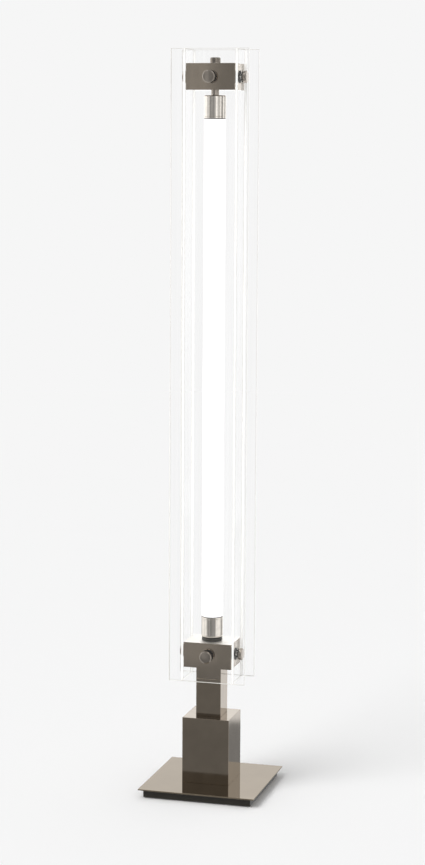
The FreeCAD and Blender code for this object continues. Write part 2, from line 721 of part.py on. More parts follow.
def make_seat_ring():
    """Dark insulating ring that the lower socket stands on."""
    outer = S["seat_ring_diameter"] / 2
    inner = rod_hole / 2
    height = S["seat_ring_height"]
    body = turned("seat_ring", [(inner, 0), (outer, 0), (outer, height), (inner, height)])
    place(body, (0, 0, lower_bracket_top))


def make_lower_socket():
    """Turned cup with a floor, clamped by the tie rod."""
    outer = S["socket_diameter"] / 2
    bore = socket_bore / 2
    hole = rod_hole / 2
    height = S["lower_socket_height"]
    body = turned("lower_socket", [
        (hole, 0), (outer, 0), (outer, height), (bore, height), (bore, S["socket_floor"]),
        (hole, S["socket_floor"]),
    ])
    dress(body, "Fillet", S["socket_round"], on_circle(S["socket_diameter"], 0))
    place(body, (0, 0, lower_socket_foot))


def make_upper_socket():
    """Turned cup, open below, with a thick top for the spindle's thread."""
    outer = S["socket_diameter"] / 2
    bore = socket_bore / 2
    hole = S["spindle_diameter"] / 2 + S["running_gap"]
    height = S["upper_socket_height"]
    ceiling = height - S["upper_socket_top"]
    body = turned("upper_socket", [
        (bore, 0), (outer, 0), (outer, height), (hole, height), (hole, ceiling), (bore, ceiling),
    ])
    dress(body, "Fillet", S["socket_round"] / 2, on_circle(S["socket_diameter"], height))
    place(body, (0, 0, upper_socket_rim))


def make_lower_holder():
    """Insulating holder in the lower socket, with the holes for the two contacts."""
    height = S["holder_height"]
    outer = socket_bore / 2 - S["fit_gap"]
    inner = S["holder_lead_hole"] / 2
    body = turned("lower_holder", [(inner, 0), (outer, 0), (outer, height), (inner, height)])
    for side in (-1, 1):
        top = (S["contact_spacing"] / 2 * side, 0, height)
        drill(body, S["contact_sleeve"] + S["running_gap"] * 2, top, DOWN, S["contact_length"] + S["fit_gap"])
    place(body, (0, 0, holder_foot))


contact_top = lower_socket_rim - S["cap_spigot"]
contact_foot = contact_top - S["contact_length"]


def make_contacts():
    """Two spring sleeves in the holder and the two pins of the tube's lower cap."""
    sides = (("left", -1), ("right", 1))
    sleeves = [ring(f"holder_contact_{name}", S["contact_sleeve"], S["contact_pin"] + S["running_gap"] * 2,
                    S["contact_length"] - S["fit_gap"], (S["contact_spacing"] / 2 * side, 0, contact_foot))
               for name, side in sides]
    group("holder_contacts", sleeves)
    pins = [primitive("Cylinder", f"contact_pin_{name}", at=(S["contact_spacing"] / 2 * side, 0, contact_foot),
                      Radius=S["contact_pin"] / 2, Height=S["contact_length"] + S["cap_spigot"])
            for name, side in sides]
    group("contact_pins", pins)


# ---------------------------------------------------------------- light tube

def make_tube():
    """Opal tube that hides and spreads the light."""
    outer = S["tube_diameter"] / 2
    inner = tube_bore / 2
    body = turned("diffuser_tube", [(inner, 0), (outer, 0), (outer, tube_length), (inner, tube_length)])
    place(body, (0, 0, tube_foot))


def make_cap(label, level, towards):
    """Cap with a plug in the tube, a flange under its end and a spigot in the socket."""
    plug = tube_bore / 2 - S["fit_gap"] / 2
    flange = S["tube_diameter"] / 2
    spigot = socket_bore / 2 - S["fit_gap"]
    top = S["cap_flange"] + S["cap_plug"]
    body = turned(label, [
        (0, -S["cap_spigot"]), (spigot, -S["cap_spigot"]), (spigot, 0), (flange, 0),
        (flange, S["cap_flange"]), (plug, S["cap_flange"]), (plug, top), (0, top),
    ])
    place(body, (0, 0, level), towards)
    return body


def make_caps():
    lower = make_cap("lower_tube_cap", lower_socket_rim, UP)
    for side in (-1, 1):
        foot = (S["contact_spacing"] / 2 * side, 0, -S["cap_spigot"])
        drill(lower, S["contact_pin"] + S["running_gap"] * 2, foot, UP, S["cap_spigot"])
    make_cap("upper_tube_cap", upper_socket_rim - S["slide_gap"], DOWN)


core_foot = tube_foot + S["cap_plug"]
core_length = tube_length - S["cap_plug"] * 2


def make_core():
    """Square aluminium extrusion down the middle of the tube."""
    body = new_body("led_core")
    add_slab(body, S["core_side"], S["core_side"], core_length)
    drill(body, S["core_bore"], (0, 0, 0), UP, core_length + S["overrun"])
    place(body, (0, 0, core_foot))


def make_strips():
    """A light strip on each face of the core."""
    length = core_length - S["strip_margin"] * 2
    strips = []
    for name, (x, y) in SIDES.items():
        across = S["strip_thick"] if x else S["strip_width"]
        along = S["strip_width"] if x else S["strip_thick"]
        out = (S["core_side"] + S["strip_thick"]) / 2
        at = (out * x - across / 2, out * y - along / 2, core_foot + S["strip_margin"])
        strips.append(primitive("Box", f"led_strip_{name}", at=at, Length=across, Width=along, Height=length))
    group("led_strips", strips)


# ---------------------------------------------------------------- spindle and top nut

def make_spindle():
    """Threaded rod with the shoulder that shows as the neck under the upper bracket."""
    thread = S["spindle_diameter"] / 2
    shoulder = S["neck_diameter"] / 2
    shoulder_top = S["neck_length"] + S["neck_engagement"]
    top = S["neck_length"] + S["bracket_height"] + S["slide_gap"] + S["top_nut_height"] - S["knob_edge"]
    body = turned("spindle", [
        (0, -S["upper_socket_top"]), (thread, -S["upper_socket_top"]), (thread, 0), (shoulder, 0),
        (shoulder, shoulder_top), (thread, shoulder_top), (thread, top), (0, top),
    ])
    place(body, (0, 0, upper_socket_top))


def make_top_nut():
    """Round nut that draws the spindle up."""
    outer = S["top_nut_diameter"] / 2
    inner = S["spindle_diameter"] / 2 + S["running_gap"]
    height = S["top_nut_height"]
    edge = S["knob_edge"]
    body = turned("top_nut", [
        (inner, 0), (outer, 0), (outer, height - edge), (outer - edge, height), (inner, height),
    ])
    place(body, (0, 0, upper_bracket_top + S["slide_gap"]))


# ---------------------------------------------------------------- glass, knobs and washers

def side_reach(x, y):
    """From the axis to the face of a bracket on one side."""
    return (S["bracket_width"] if x else S["bracket_depth"]) / 2


def out_from(side, distance, level):
    """A point on one side of the lamp, at a distance from its axis."""
    x, y = SIDES[side]
    return (distance * x if x else 0, distance * y if y else 0, level)


glass_foot = lower_bracket_foot - S["glass_overhang"]
glass_length = upper_bracket_top + S["glass_overhang"] - glass_foot


def make_glass(side):
    """Clear plate with a hole for the stud at each bracket."""
    x, y = SIDES[side]
    body = new_body(f"glass_{side}")
    width = S["side_glass_width"] if x else S["face_glass_width"]
    across, along = (S["glass_thick"], width) if x else (width, S["glass_thick"])
    add_slab(body, across, along, glass_length)
    dress(body, "Chamfer", S["glass_edge"], on_box_corner(across, along))
    for level in bracket_foot.values():
        start = out_from(side, S["glass_thick"] / 2, level + stud_height - glass_foot)
        drill(body, S["glass_hole"], start, (-x, -y, 0), S["glass_thick"] + S["overrun"])
    middle = side_reach(x, y) + S["gasket_thick"] + S["glass_thick"] / 2
    place(body, out_from(side, middle, glass_foot))


def make_knob(level_name, side):
    """Round flat knob with its stud; the origin is the back of the head."""
    x, y = SIDES[side]
    head = S["knob_diameter"] / 2
    stud = S["stud_diameter"] / 2
    edge = S["knob_edge"]
    length = S["washer_thick"] + S["glass_thick"] + S["gasket_thick"] + S["stud_engagement"]
    body = turned(f"knob_{level_name}_{side}", [
        (0, -length), (stud - edge, -length), (stud, edge - length), (stud, 0), (head - edge, 0), (head, edge),
        (head, S["knob_height"] - edge), (head - edge, S["knob_height"]), (0, S["knob_height"]),
    ])
    back = side_reach(x, y) + S["gasket_thick"] + S["glass_thick"] + S["washer_thick"] + S["slide_gap"] * 2
    place(body, out_from(side, back, bracket_foot[level_name] + stud_height), (x, y, 0))


def make_washer(level_name, side):
    """Washer that comes off the glass with its knob."""
    x, y = SIDES[side]
    outer = S["washer_diameter"] / 2
    inner = S["stud_diameter"] / 2 + S["running_gap"]
    thick = S["washer_thick"]
    body = turned(f"washer_{level_name}_{side}", [(inner, 0), (outer, 0), (outer, thick), (inner, thick)])
    back = side_reach(x, y) + S["gasket_thick"] + S["glass_thick"] + S["slide_gap"]
    place(body, out_from(side, back, bracket_foot[level_name] + stud_height), (x, y, 0))


def make_glass_rings():
    """Soft gaskets behind the glass and bushes in its holes, one of each at every stud."""
    gaskets = []
    bushes = []
    hole = S["stud_diameter"] + S["rod_gap"] * 2
    for level_name, foot in bracket_foot.items():
        for side, (x, y) in SIDES.items():
            name = f"{level_name}_{side}"
            face = side_reach(x, y)
            level = foot + stud_height
            gaskets.append(ring(f"gasket_{name}", S["gasket_diameter"], hole, S["gasket_thick"],
                                out_from(side, face, level), (x, y, 0)))
            bushes.append(ring(f"bush_{name}", S["glass_hole"] - S["running_gap"] * 2, hole, S["glass_thick"],
                               out_from(side, face + S["gasket_thick"], level), (x, y, 0)))
    group("glass_gaskets", gaskets)
    group("glass_bushes", bushes)


# ---------------------------------------------------------------- the whole lamp

make_plinth()
make_foot_pads()
make_underside_cover()
make_base_sheet()
make_block_plate()
make_base_screws()
make_cord_gland()
make_block()
make_driver()
make_driver_bracket()
make_driver_screws()
make_terminal_block()
make_post()
make_post_plugs()
make_tie_rod()
make_rod_fasteners()
make_light_lead()
make_lower_bracket()
make_seat_ring()
make_lower_socket()
make_lower_holder()
make_contacts()
make_tube()
make_caps()
make_core()
make_strips()
make_upper_socket()
make_spindle()
make_upper_bracket()
make_top_nut()
for side_name in SIDES:
    make_glass(side_name)
for level_name in bracket_foot:
    for side_name in SIDES:
        make_washer(level_name, side_name)
        make_knob(level_name, side_name)
make_glass_rings()
doc.recompute()

# ---------------------------------------------------------------- checks and files

for thing in doc.Objects:
    if "Invalid" in thing.State or "Error" in thing.State:
        raise RuntimeError(f"{thing.Label} did not rebuild: {thing.State}")
for node in nodes:
    if node.Shape.isNull() or not node.Shape.isValid() or not node.Shape.Solids:
        raise RuntimeError(f"{node.Label} has no sound solid")

os.makedirs("parts", exist_ok=True)
for node in nodes:
    node.Shape.exportStep(f"parts/{node.Label}.step")
print(len(nodes), "nodes written")
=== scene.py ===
import json
import math

import bmesh
import bpy
from bpy.props import FloatProperty, FloatVectorProperty, IntProperty, PointerProperty
from mathutils import Matrix, Vector


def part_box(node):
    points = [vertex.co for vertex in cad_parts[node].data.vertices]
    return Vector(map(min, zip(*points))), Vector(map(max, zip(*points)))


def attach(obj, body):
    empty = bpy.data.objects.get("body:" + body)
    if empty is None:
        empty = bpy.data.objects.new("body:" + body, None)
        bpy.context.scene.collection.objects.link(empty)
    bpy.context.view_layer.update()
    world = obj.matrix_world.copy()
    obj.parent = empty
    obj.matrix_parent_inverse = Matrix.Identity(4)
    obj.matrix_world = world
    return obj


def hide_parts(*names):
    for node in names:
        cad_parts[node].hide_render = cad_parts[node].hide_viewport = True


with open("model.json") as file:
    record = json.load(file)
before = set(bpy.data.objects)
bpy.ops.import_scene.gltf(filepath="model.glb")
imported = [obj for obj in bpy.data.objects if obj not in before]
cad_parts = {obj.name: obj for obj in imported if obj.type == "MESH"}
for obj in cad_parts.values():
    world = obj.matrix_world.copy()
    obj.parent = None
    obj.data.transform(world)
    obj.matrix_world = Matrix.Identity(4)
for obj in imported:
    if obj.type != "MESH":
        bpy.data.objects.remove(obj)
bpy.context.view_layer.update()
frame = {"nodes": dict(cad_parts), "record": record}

# Floor lamp: a lit opal tube between two nickel-plated brackets inside four clear glass plates.
# Metres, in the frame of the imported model: +Z up, the front at -Y, the origin on the floor.

bl_info = {
    "name": "Glass-cased tube floor lamp",
    "version": (1, 0, 0),
    "blender": (4, 5, 0),
    "location": "View3D > Sidebar > Floor Lamp",
    "description": "Dresses the packed floor lamp with its finished metal, glass and lit pieces",
    "category": "Add Mesh",
}

MM = 0.001
LEVELS = ("lower", "upper")
SIDES = {"front": Vector((0, -1, 0)), "back": Vector((0, 1, 0)),
         "left": Vector((-1, 0, 0)), "right": Vector((1, 0, 0))}
ARC_STEPS = 4
SHARP_ANGLE = math.radians(40)
TURNING = "turning"      # attribute of turned pieces: metres along the profile, which the tool followed
FACING = "facing"        # attribute of the points that rings are set on: the way each ring faces

# Radii and sizes of small parts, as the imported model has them.
ROD_BORE = 6.7 * MM      # round the hollow tie rod
SPINDLE_BORE = 5.05 * MM
GLAND_SEAT = 6.05 * MM
CORD_BORE = 3.75 * MM
PAD_RADIUS = 12 * MM
SPIGOT = 19.7 * MM       # the part of a tube cap that sits in its socket
SHOULDER = 22 * MM       # length of the spindle's shoulder, which shows as the neck
SHOULDER_CUT = 21.1 * MM  # depth of the bracket's bore for it, from 1 mm below the bracket
KNOB_HEAD = 8 * MM
WASHER_BORE = 3.05 * MM
WASHER_THICKNESS = 1 * MM
GASKET_OFFSET = 2.9 * MM  # from the middle of a plate to the middle of the gasket behind it
GASKET_THICKNESS = 0.8 * MM
BUSH_RADIUS = 4.45 * MM
BUSH_BORE = 3.2 * MM
GLASS_THICKNESS = 5 * MM

BODY_OF = {node: body for body, nodes in frame["record"]["behaviour"]["bodies"].items() for node in nodes}


def linear(code):
    """An sRGB hex colour as the linear colour that shaders work in."""
    channels = [int(code[i:i + 2], 16) / 255 for i in (1, 3, 5)]
    return tuple(c / 12.92 if c <= 0.04045 else ((c + 0.055) / 1.055) ** 2.4 for c in channels) + (1.0,)


def per_mm(size):
    """Texture scale at which one feature is about this many millimetres wide."""
    return 1 / (size * MM)


def length(name, description, millimetres):
    return FloatProperty(name=name, description=description, default=millimetres * MM, min=0, unit="LENGTH",
                         precision=5)


def colour(name, description, code):
    return FloatVectorProperty(name=name, description=description, default=linear(code), size=4,
                               subtype="COLOR", min=0, max=1)


# ---------------------------------------------------------------- sizes and colours to change

class LampSizes(bpy.types.PropertyGroup):
    """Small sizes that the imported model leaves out. Everything larger is read from its pieces."""

    edge_round: length("Edge rounding", "Rounding of the block's, post's and brackets' edges", 0.6)
    sheet_round: length("Sheet edge", "Rounding of the base sheet's edges", 0.5)
    plinth_round: length("Plinth edge", "Rounding of the plinth's edges", 1.0)
    block_wall: length("Block wall", "Wall of the block and the post", 2.5)
    stud_hole: length("Stud hole", "Diameter of the threaded holes in the brackets", 6.1)
    stud_hole_depth: length("Stud hole depth", "Depth of those holes", 17)
    glass_hole: length("Glass hole", "Diameter of the holes in the glass", 9)
    glass_arris: length("Glass arris", "Ground bevel along the edges of the glass", 0.5)
    knob_bevel: length("Knob bevel", "Flat bevel round a knob's rim", 1.5)
    knob_crown: length("Knob crown", "How much the face of a knob swells in the middle", 0.25)
    stud_diameter: length("Stud", "Diameter of a knob's threaded stud", 6)
    thread_pitch: length("Thread pitch", "Rise of a knob's thread in one turn", 1.0)
    thread_depth: length("Thread depth", "Depth of the knob's thread", 0.5)
    socket_wall: length("Socket wall", "Wall of both sockets at the rim", 2)
    rim_groove: length("Rim groove", "Width of the turned groove near a socket's rim", 0.8)
    tube_wall: length("Tube wall", "Wall of the opal tube", 2.5)
    chip_pitch: length("Light chip pitch", "Distance between the chips of a light strip", 10)
    facets: IntProperty(name="Facets", description="Facets round a turned piece", default=96, min=12)


class LampColours(bpy.types.PropertyGroup):
    """Base colours of the finishes."""

    bronze: colour("Dark nickel", "Plating of the block, the post and the brackets", "#998E80")
    mirror: colour("Mirror nickel", "Plating of the base sheet", "#A29582")
    bright: colour("Bright nickel", "Plating of the sockets", "#D9D3CB")
    # The top faces' plating is made near white: painted glare of the lit tube.
    satin: colour("Satin nickel", "Plating of the top faces of the brackets", "#F1EEE9")
    knob: colour("Knob nickel", "Plating of the knobs", "#A19990")
    # The nut's colour is the knob nickel made darker: painted shade.
    nut: colour("Nut nickel", "Plating of the nut on top", "#837B72")
    lacquer: colour("Lacquer", "Lacquer of the plinth", "#2C2922")
    opal: colour("Light", "Colour of the lit tube", "#FFFFFF")
    glass_edge: colour("Glass edge", "Ground edges of the glass", "#F4F4F1")
    arris: colour("Glass arris", "Thin bevels along those edges", "#CFCBC2")


class LampStage(bpy.types.PropertyGroup):
    """The view and the light of the photograph."""

    camera_place: FloatVectorProperty(name="Camera", description="Place of the camera", size=3,
                                      default=(1.16206, -4.17755, 1.33171), subtype="TRANSLATION", unit="LENGTH")
    camera_turn: FloatProperty(name="Turn", description="How far the camera looks past the axis, to the left",
                               default=math.radians(0.02), subtype="ANGLE")
    camera_tilt: FloatProperty(name="Tilt", description="How far the camera looks down",
                               default=math.radians(7.802), subtype="ANGLE")
    camera_roll: FloatProperty(name="Roll", description="How far the picture leans to the right",
                               default=math.radians(0.321), subtype="ANGLE")
    lens: FloatProperty(name="Lens", description="Focal length on a frame 36 mm high", default=90.33,
                        subtype="DISTANCE_CAMERA")
    background: colour("Background", "Colour of the floor and of what is behind it", "#F6F6F6")
    floor_white: FloatProperty(name="Floor white", description="Share of light that the floor sends back",
                               default=0.90, min=0, max=1)
    ambient: FloatProperty(name="Soft light", description="Light that falls evenly from all round",
                           default=0.55, min=0, max=1)
    key_share: FloatProperty(name="Key light", description="Share of the lamps' light from the front left",
                             default=0.92, min=0, max=1, subtype="FACTOR")


# ---------------------------------------------------------------- nodes and materials

def add(tree, kind, inputs=None, **settings):
    """Adds a node. Settings are its own properties. An input is a value, a socket or a node's first output."""
    made = tree.nodes.new(kind)
    for key, value in settings.items():
        setattr(made, key, value)
    for key, value in (inputs or {}).items():
        if isinstance(value, bpy.types.Node):
            value = value.outputs[0]
        if isinstance(value, bpy.types.NodeSocket):
            tree.links.new(value, made.inputs[key])
        else:
            made.inputs[key].default_value = value
    return made


def new_material(name):
    material = bpy.data.materials.new(name)
    material.use_nodes = True
    material.node_tree.nodes.clear()
    return material, material.node_tree


def shaded(base, factor):
    """A colour made a little darker or lighter."""
    return tuple(min(c * factor, 1.0) for c in base[:3]) + (1.0,)


def clouds(tree, size_mm, low, high, stretch=(1, 1, 1), detail=3.0):
    """A slow variation between two values over the piece, as noise of a real size."""
    place = add(tree, "ShaderNodeTexCoord").outputs["Object"]
    turned = add(tree, "ShaderNodeMapping", {"Vector": place, "Scale": stretch}).outputs["Vector"]
    noise = add(tree, "ShaderNodeTexNoise", {"Vector": turned, "Scale": per_mm(size_mm), "Detail": detail})
    spread = add(tree, "ShaderNodeMapRange", {"Value": noise.outputs["Fac"], "From Min": 0.3, "From Max": 0.7,
                                              "To Min": low, "To Max": high})
    return spread.outputs["Result"]


def tinted(tree, base, dark, light, amount):
    """The base colour, moved between a darker and a lighter form of itself."""
    mix = add(tree, "ShaderNodeMix", {0: amount, 6: shaded(base, dark), 7: shaded(base, light)},
              data_type="RGBA")
    return mix.outputs[2]


def solid_finish(name, base, roughness, size_mm, metallic=0.0, variation=0.06, bump_mm=0.0, bump_size_mm=1.0,
                 stretch=(1, 1, 1), **sockets):
    """A Principled material whose colour and roughness vary slowly, with a fine relief on top."""
    material, tree = new_material(name)
    amount = clouds(tree, size_mm, 0.0, 1.0)
    inputs = {
        "Base Color": tinted(tree, base, 1 - variation, 1 + variation, amount),
        "Roughness": clouds(tree, size_mm / 2, roughness[0], roughness[1], stretch),
        "Metallic": metallic,
        **sockets,
    }
    if bump_mm:
        relief = clouds(tree, bump_size_mm, 0.0, 1.0, stretch, detail=2.0)
        inputs["Normal"] = add(tree, "ShaderNodeBump", {"Height": relief, "Distance": bump_mm * MM,
                                                        "Strength": 1.0}).outputs["Normal"]
    shader = add(tree, "ShaderNodeBsdfPrincipled", inputs)
    add(tree, "ShaderNodeOutputMaterial", {"Surface": shader})
    return material


def turned_finish(name, base, roughness, mark_mm, mark_depth_mm, variation=0.05):
    """Plated metal that was turned on a lathe: fine rings follow the profile."""
    material, tree = new_material(name)
    along = add(tree, "ShaderNodeAttribute", attribute_name=TURNING).outputs["Fac"]
    marks = add(tree, "ShaderNodeTexNoise", {"W": along, "Scale": per_mm(mark_mm), "Detail": 2.0},
                noise_dimensions="1D").outputs["Fac"]
    bump = add(tree, "ShaderNodeBump", {"Height": marks, "Distance": mark_depth_mm * MM, "Strength": 1.0})
    shine = add(tree, "ShaderNodeMapRange", {"Value": marks, "From Min": 0.3, "From Max": 0.7,
                                             "To Min": roughness[0], "To Max": roughness[1]})
    amount = clouds(tree, 9.0, 0.0, 1.0)
    shader = add(tree, "ShaderNodeBsdfPrincipled", {
        "Base Color": tinted(tree, base, 1 - variation, 1 + variation, amount),
        "Metallic": 1.0,
        "Roughness": shine.outputs["Result"],
        "Normal": bump.outputs["Normal"],
    })
    add(tree, "ShaderNodeOutputMaterial", {"Surface": shader})
    return material


def clear_plate_glass(name):
    """Clear float glass, coated against glare: it shows at a low angle, and by a faint painted glow that stands in
    for the tube's light scattered in the glass.
    """
    material, tree = new_material(name)
    facing = add(tree, "ShaderNodeLayerWeight", {"Blend": 0.5}).outputs["Facing"]
    steep = add(tree, "ShaderNodeMath", {0: facing, 1: 5.0}, operation="POWER")
    smear = clouds(tree, 70, 0.003, 0.006)
    share = add(tree, "ShaderNodeMath", {0: steep, 1: 0.12, 2: smear}, operation="MULTIPLY_ADD")
    # Draw lines of the float bath, far fainter than this on real glass, drawn so that they just show.
    drawn = clouds(tree, 9.0, 0.0, 1.0, (1, 1, 0.012), detail=4.0)
    tone = add(tree, "ShaderNodeMix", {0: drawn, 6: (0.984, 0.984, 0.983, 1), 7: (1, 1, 1, 1)},
               data_type="RGBA").outputs[2]
    through = add(tree, "ShaderNodeBsdfTransparent", {"Color": tone})
    gloss = add(tree, "ShaderNodeBsdfGlossy", {"Color": (1, 1, 1, 1), "Roughness": 0.0})
    plate = add(tree, "ShaderNodeMixShader", {0: share, 1: through, 2: gloss})
    # painted glow: a faint emission on the glass for the tube's light that it scatters
    painted_tube_glow = add(tree, "ShaderNodeEmission", {"Strength": clouds(tree, 45, 0.006, 0.010, (1, 1, 0.05))})
    surface = add(tree, "ShaderNodeAddShader", {0: plate, 1: painted_tube_glow})
    add(tree, "ShaderNodeOutputMaterial", {"Surface": surface})
    return material


def ground_glass_edge(name, base, glow, cover):
    """Edge of the plate, ground with a fine wheel: it is pale, and it gives off a painted glow for the light that
    the plate carries to it.
    """
    material, tree = new_material(name)
    through = add(tree, "ShaderNodeBsdfTransparent", {"Color": (1, 1, 1, 1)})
    scatter = add(tree, "ShaderNodeBsdfPrincipled", {
        "Base Color": tinted(tree, base, 0.97, 1.02, clouds(tree, 40.0, 0.0, 1.0)),
        "Roughness": clouds(tree, 2.0, 0.25, 0.4),
        "IOR": 1.52,
        "Emission Color": (1, 1, 1, 1),
        # painted light: the edge glows for the light that the plate carries to it
        "Emission Strength": clouds(tree, 90.0, glow * 0.8, glow * 1.2),
    })
    surface = add(tree, "ShaderNodeMixShader", {0: clouds(tree, 60.0, cover - 0.05, cover + 0.05),
                                                1: through, 2: scatter})
    add(tree, "ShaderNodeOutputMaterial", {"Surface": surface})
    return material


def lit_opal(name, base):
    """Opal acrylic lit from inside: even white, with a soft gloss, and slightly dimmer towards its ends."""
    material, tree = new_material(name)
    low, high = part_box("diffuser_tube")
    place = add(tree, "ShaderNodeTexCoord").outputs["Object"]
    height = add(tree, "ShaderNodeSeparateXYZ", {0: place}).outputs["Z"]
    from_foot = add(tree, "ShaderNodeMapRange", {"Value": height, "From Min": low.z, "From Max": low.z + 30 * MM,
                                                 "To Min": 0.82, "To Max": 1.0}).outputs["Result"]
    from_top = add(tree, "ShaderNodeMapRange", {"Value": height, "From Min": high.z - 30 * MM, "From Max": high.z,
                                                "To Min": 1.0, "To Max": 0.82}).outputs["Result"]
    ends = add(tree, "ShaderNodeMath", {0: from_foot, 1: from_top}, operation="MULTIPLY")
    mottle = clouds(tree, 40.0, 0.985, 1.0)
    glow = add(tree, "ShaderNodeMath", {0: ends, 1: mottle}, operation="MULTIPLY")
    light = add(tree, "ShaderNodeMix", {0: glow, 6: (0, 0, 0, 1), 7: base}, data_type="RGBA").outputs[2]
    shader = add(tree, "ShaderNodeBsdfPrincipled", {
        "Base Color": tinted(tree, shaded(base, 0.85), 0.98, 1.0, clouds(tree, 25.0, 0.0, 1.0)),
        "Roughness": clouds(tree, 30.0, 0.22, 0.30),
        "Emission Color": light,
        "Emission Strength": 1.12,
    })
    add(tree, "ShaderNodeOutputMaterial", {"Surface": shader})
    return material


def make_finishes(colours):
    """Every finish of the lamp, by the name of what it is."""
    return {
        # Nickel plate over polished steel sheet, buffed to a mirror: reflections stay sharp, with faint haze.
        "mirror": solid_finish("mirror nickel plate", colours.mirror, (0.018, 0.05), 60, metallic=1.0,
                               variation=0.03, bump_mm=0.0006, bump_size_mm=25),
        # Dark nickel plate on drawn steel: almost a mirror, softened by fine polishing marks.
        "bronze": solid_finish("dark nickel plate", colours.bronze, (0.07, 0.13), 28, metallic=1.0,
                               variation=0.05, bump_mm=0.0015, bump_size_mm=6, stretch=(1, 1, 0.25)),
        # Nickel plate over a surface that was brushed crosswise, too dull to mirror anything, and pale beyond the
        # plating's own colour: painted glare of the lit tube on the brackets' tops.
        "satin": solid_finish("satin nickel plate", colours.satin, (0.42, 0.55), 20, metallic=1.0,
                              variation=0.03, bump_mm=0.002, bump_size_mm=0.5, stretch=(1, 0.04, 1)),
        # Bright nickel plate on turned brass: rings of light run round it.
        "bright": turned_finish("bright turned nickel", colours.bright, (0.10, 0.17), 0.9, 0.004),
        "knob": turned_finish("turned knob nickel", colours.knob, (0.09, 0.16), 0.7, 0.003),
        # the nut: the knob's nickel made darker, as painted shade
        "nut": turned_finish("turned nut nickel", colours.nut, (0.09, 0.16), 0.7, 0.003),
        # Satin lacquer over cast iron: a soft orange-peel relief and no mirror image.
        "lacquer": solid_finish("satin black lacquer", colours.lacquer, (0.30, 0.42), 14, variation=0.12,
                                bump_mm=0.02, bump_size_mm=1.5, IOR=1.5),
        "glass": clear_plate_glass("clear plate glass"),
        # the ground edges glow a little: painted light
        "edge": ground_glass_edge("ground glass edge", colours.glass_edge, 0.25, 0.85),
        "arris": ground_glass_edge("ground glass arris", colours.arris, 0.0, 0.8),
        "opal": lit_opal("lit opal acrylic", colours.opal),
        # Moulded rubber: matt and grainy.
        "rubber": solid_finish("black rubber", linear("#1C1B1A"), (0.7, 0.85), 5, variation=0.15,
                               bump_mm=0.02, bump_size_mm=0.8, IOR=1.52),
        # Clear moulded nylon, which looks milky where it is thicker.
        "nylon": solid_finish("milky nylon", linear("#D9D6CE"), (0.35, 0.5), 4, variation=0.05,
                              bump_mm=0.01, bump_size_mm=1.2, IOR=1.53),
        # Black polyamide with a fine spark-eroded grain.
        "plastic": solid_finish("black moulded plastic", linear("#201F1E"), (0.42, 0.58), 6, variation=0.1,
                                bump_mm=0.02, bump_size_mm=0.6, IOR=1.53),
        # Zinc-plated steel: cool grey, cloudy and dull.
        "zinc": solid_finish("zinc-plated steel", linear("#B9BBBD"), (0.28, 0.45), 7, metallic=1.0,
                             variation=0.1, bump_mm=0.01, bump_size_mm=1.2),
        # White flame-retardant plastic of the driver's case and the lead.
        "white": solid_finish("white moulded plastic", linear("#DEDCD6"), (0.40, 0.52), 9, variation=0.04,
                              bump_mm=0.015, bump_size_mm=0.7, IOR=1.5),
        # Extruded aluminium: fine lines along the die's direction.
        "aluminium": solid_finish("extruded aluminium", linear("#C9CACC"), (0.22, 0.38), 8, metallic=1.0,
                                  variation=0.06, bump_mm=0.01, bump_size_mm=0.5, stretch=(1, 1, 0.02)),
        # White solder resist on the strips' circuit board.
        "board": solid_finish("white circuit board", linear("#E6E4DC"), (0.32, 0.45), 6, variation=0.04,
                              bump_mm=0.008, bump_size_mm=0.8, IOR=1.5),
        # Yellow phosphor in silicone over each chip.
        "chip": solid_finish("phosphor chip", linear("#E3C25A"), (0.25, 0.4), 1.5, variation=0.08,
                             bump_mm=0.01, bump_size_mm=0.5, IOR=1.41),
        # Tinned spring brass.
        "brass": solid_finish("spring brass", linear("#C7A15A"), (0.2, 0.34), 2, metallic=1.0,
                              variation=0.08, bump_mm=0.005, bump_size_mm=0.5),
    }


FINISHES = {}


# ---------------------------------------------------------------- mesh helpers

def set_down(name, mesh):
    piece = bpy.data.objects.new(name, mesh)
    bpy.context.scene.collection.objects.link(piece)
    return piece


def settle(piece):
    """Turns a piece with its modifiers into a plain mesh."""
    graph = bpy.context.evaluated_depsgraph_get()
    plain = bpy.data.meshes.new_from_object(piece.evaluated_get(graph), depsgraph=graph)
    piece.modifiers.clear()
    piece.data = plain
    plain.name = piece.name
    return piece


def hand_over(piece, node, replaced=True):
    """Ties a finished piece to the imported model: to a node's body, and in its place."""
    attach(piece, BODY_OF[node])
    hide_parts(*([node] if replaced else []))


def finished(name, bm, finishes, node, cutters=()):
    """Makes a solid piece: outward faces, holes, soft edges that leave the flats flat, and its ties."""
    bmesh.ops.recalc_face_normals(bm, faces=bm.faces)
    mesh = bpy.data.meshes.new(name)
    bm.to_mesh(mesh)
    bm.free()
    for finish in finishes:
        mesh.materials.append(FINISHES[finish])
    piece = set_down(name, mesh)
    tools = [set_down(f"{name}_cutter", cutter) for cutter in cutters]
    for tool in tools:
        cut = piece.modifiers.new("cut", "BOOLEAN")
        cut.operation = "DIFFERENCE"
        cut.solver = "EXACT"
        cut.object = tool
    if tools:
        settle(piece)
        for tool in tools:
            bpy.data.objects.remove(tool)
    piece.data.shade_smooth()
    piece.data.set_sharp_from_angle(angle=SHARP_ANGLE)
    flats = piece.modifiers.new("flats", "WEIGHTED_NORMAL")
    flats.keep_sharp = True
    flats.weight = 90
    settle(piece)
    hand_over(piece, node)
    return piece


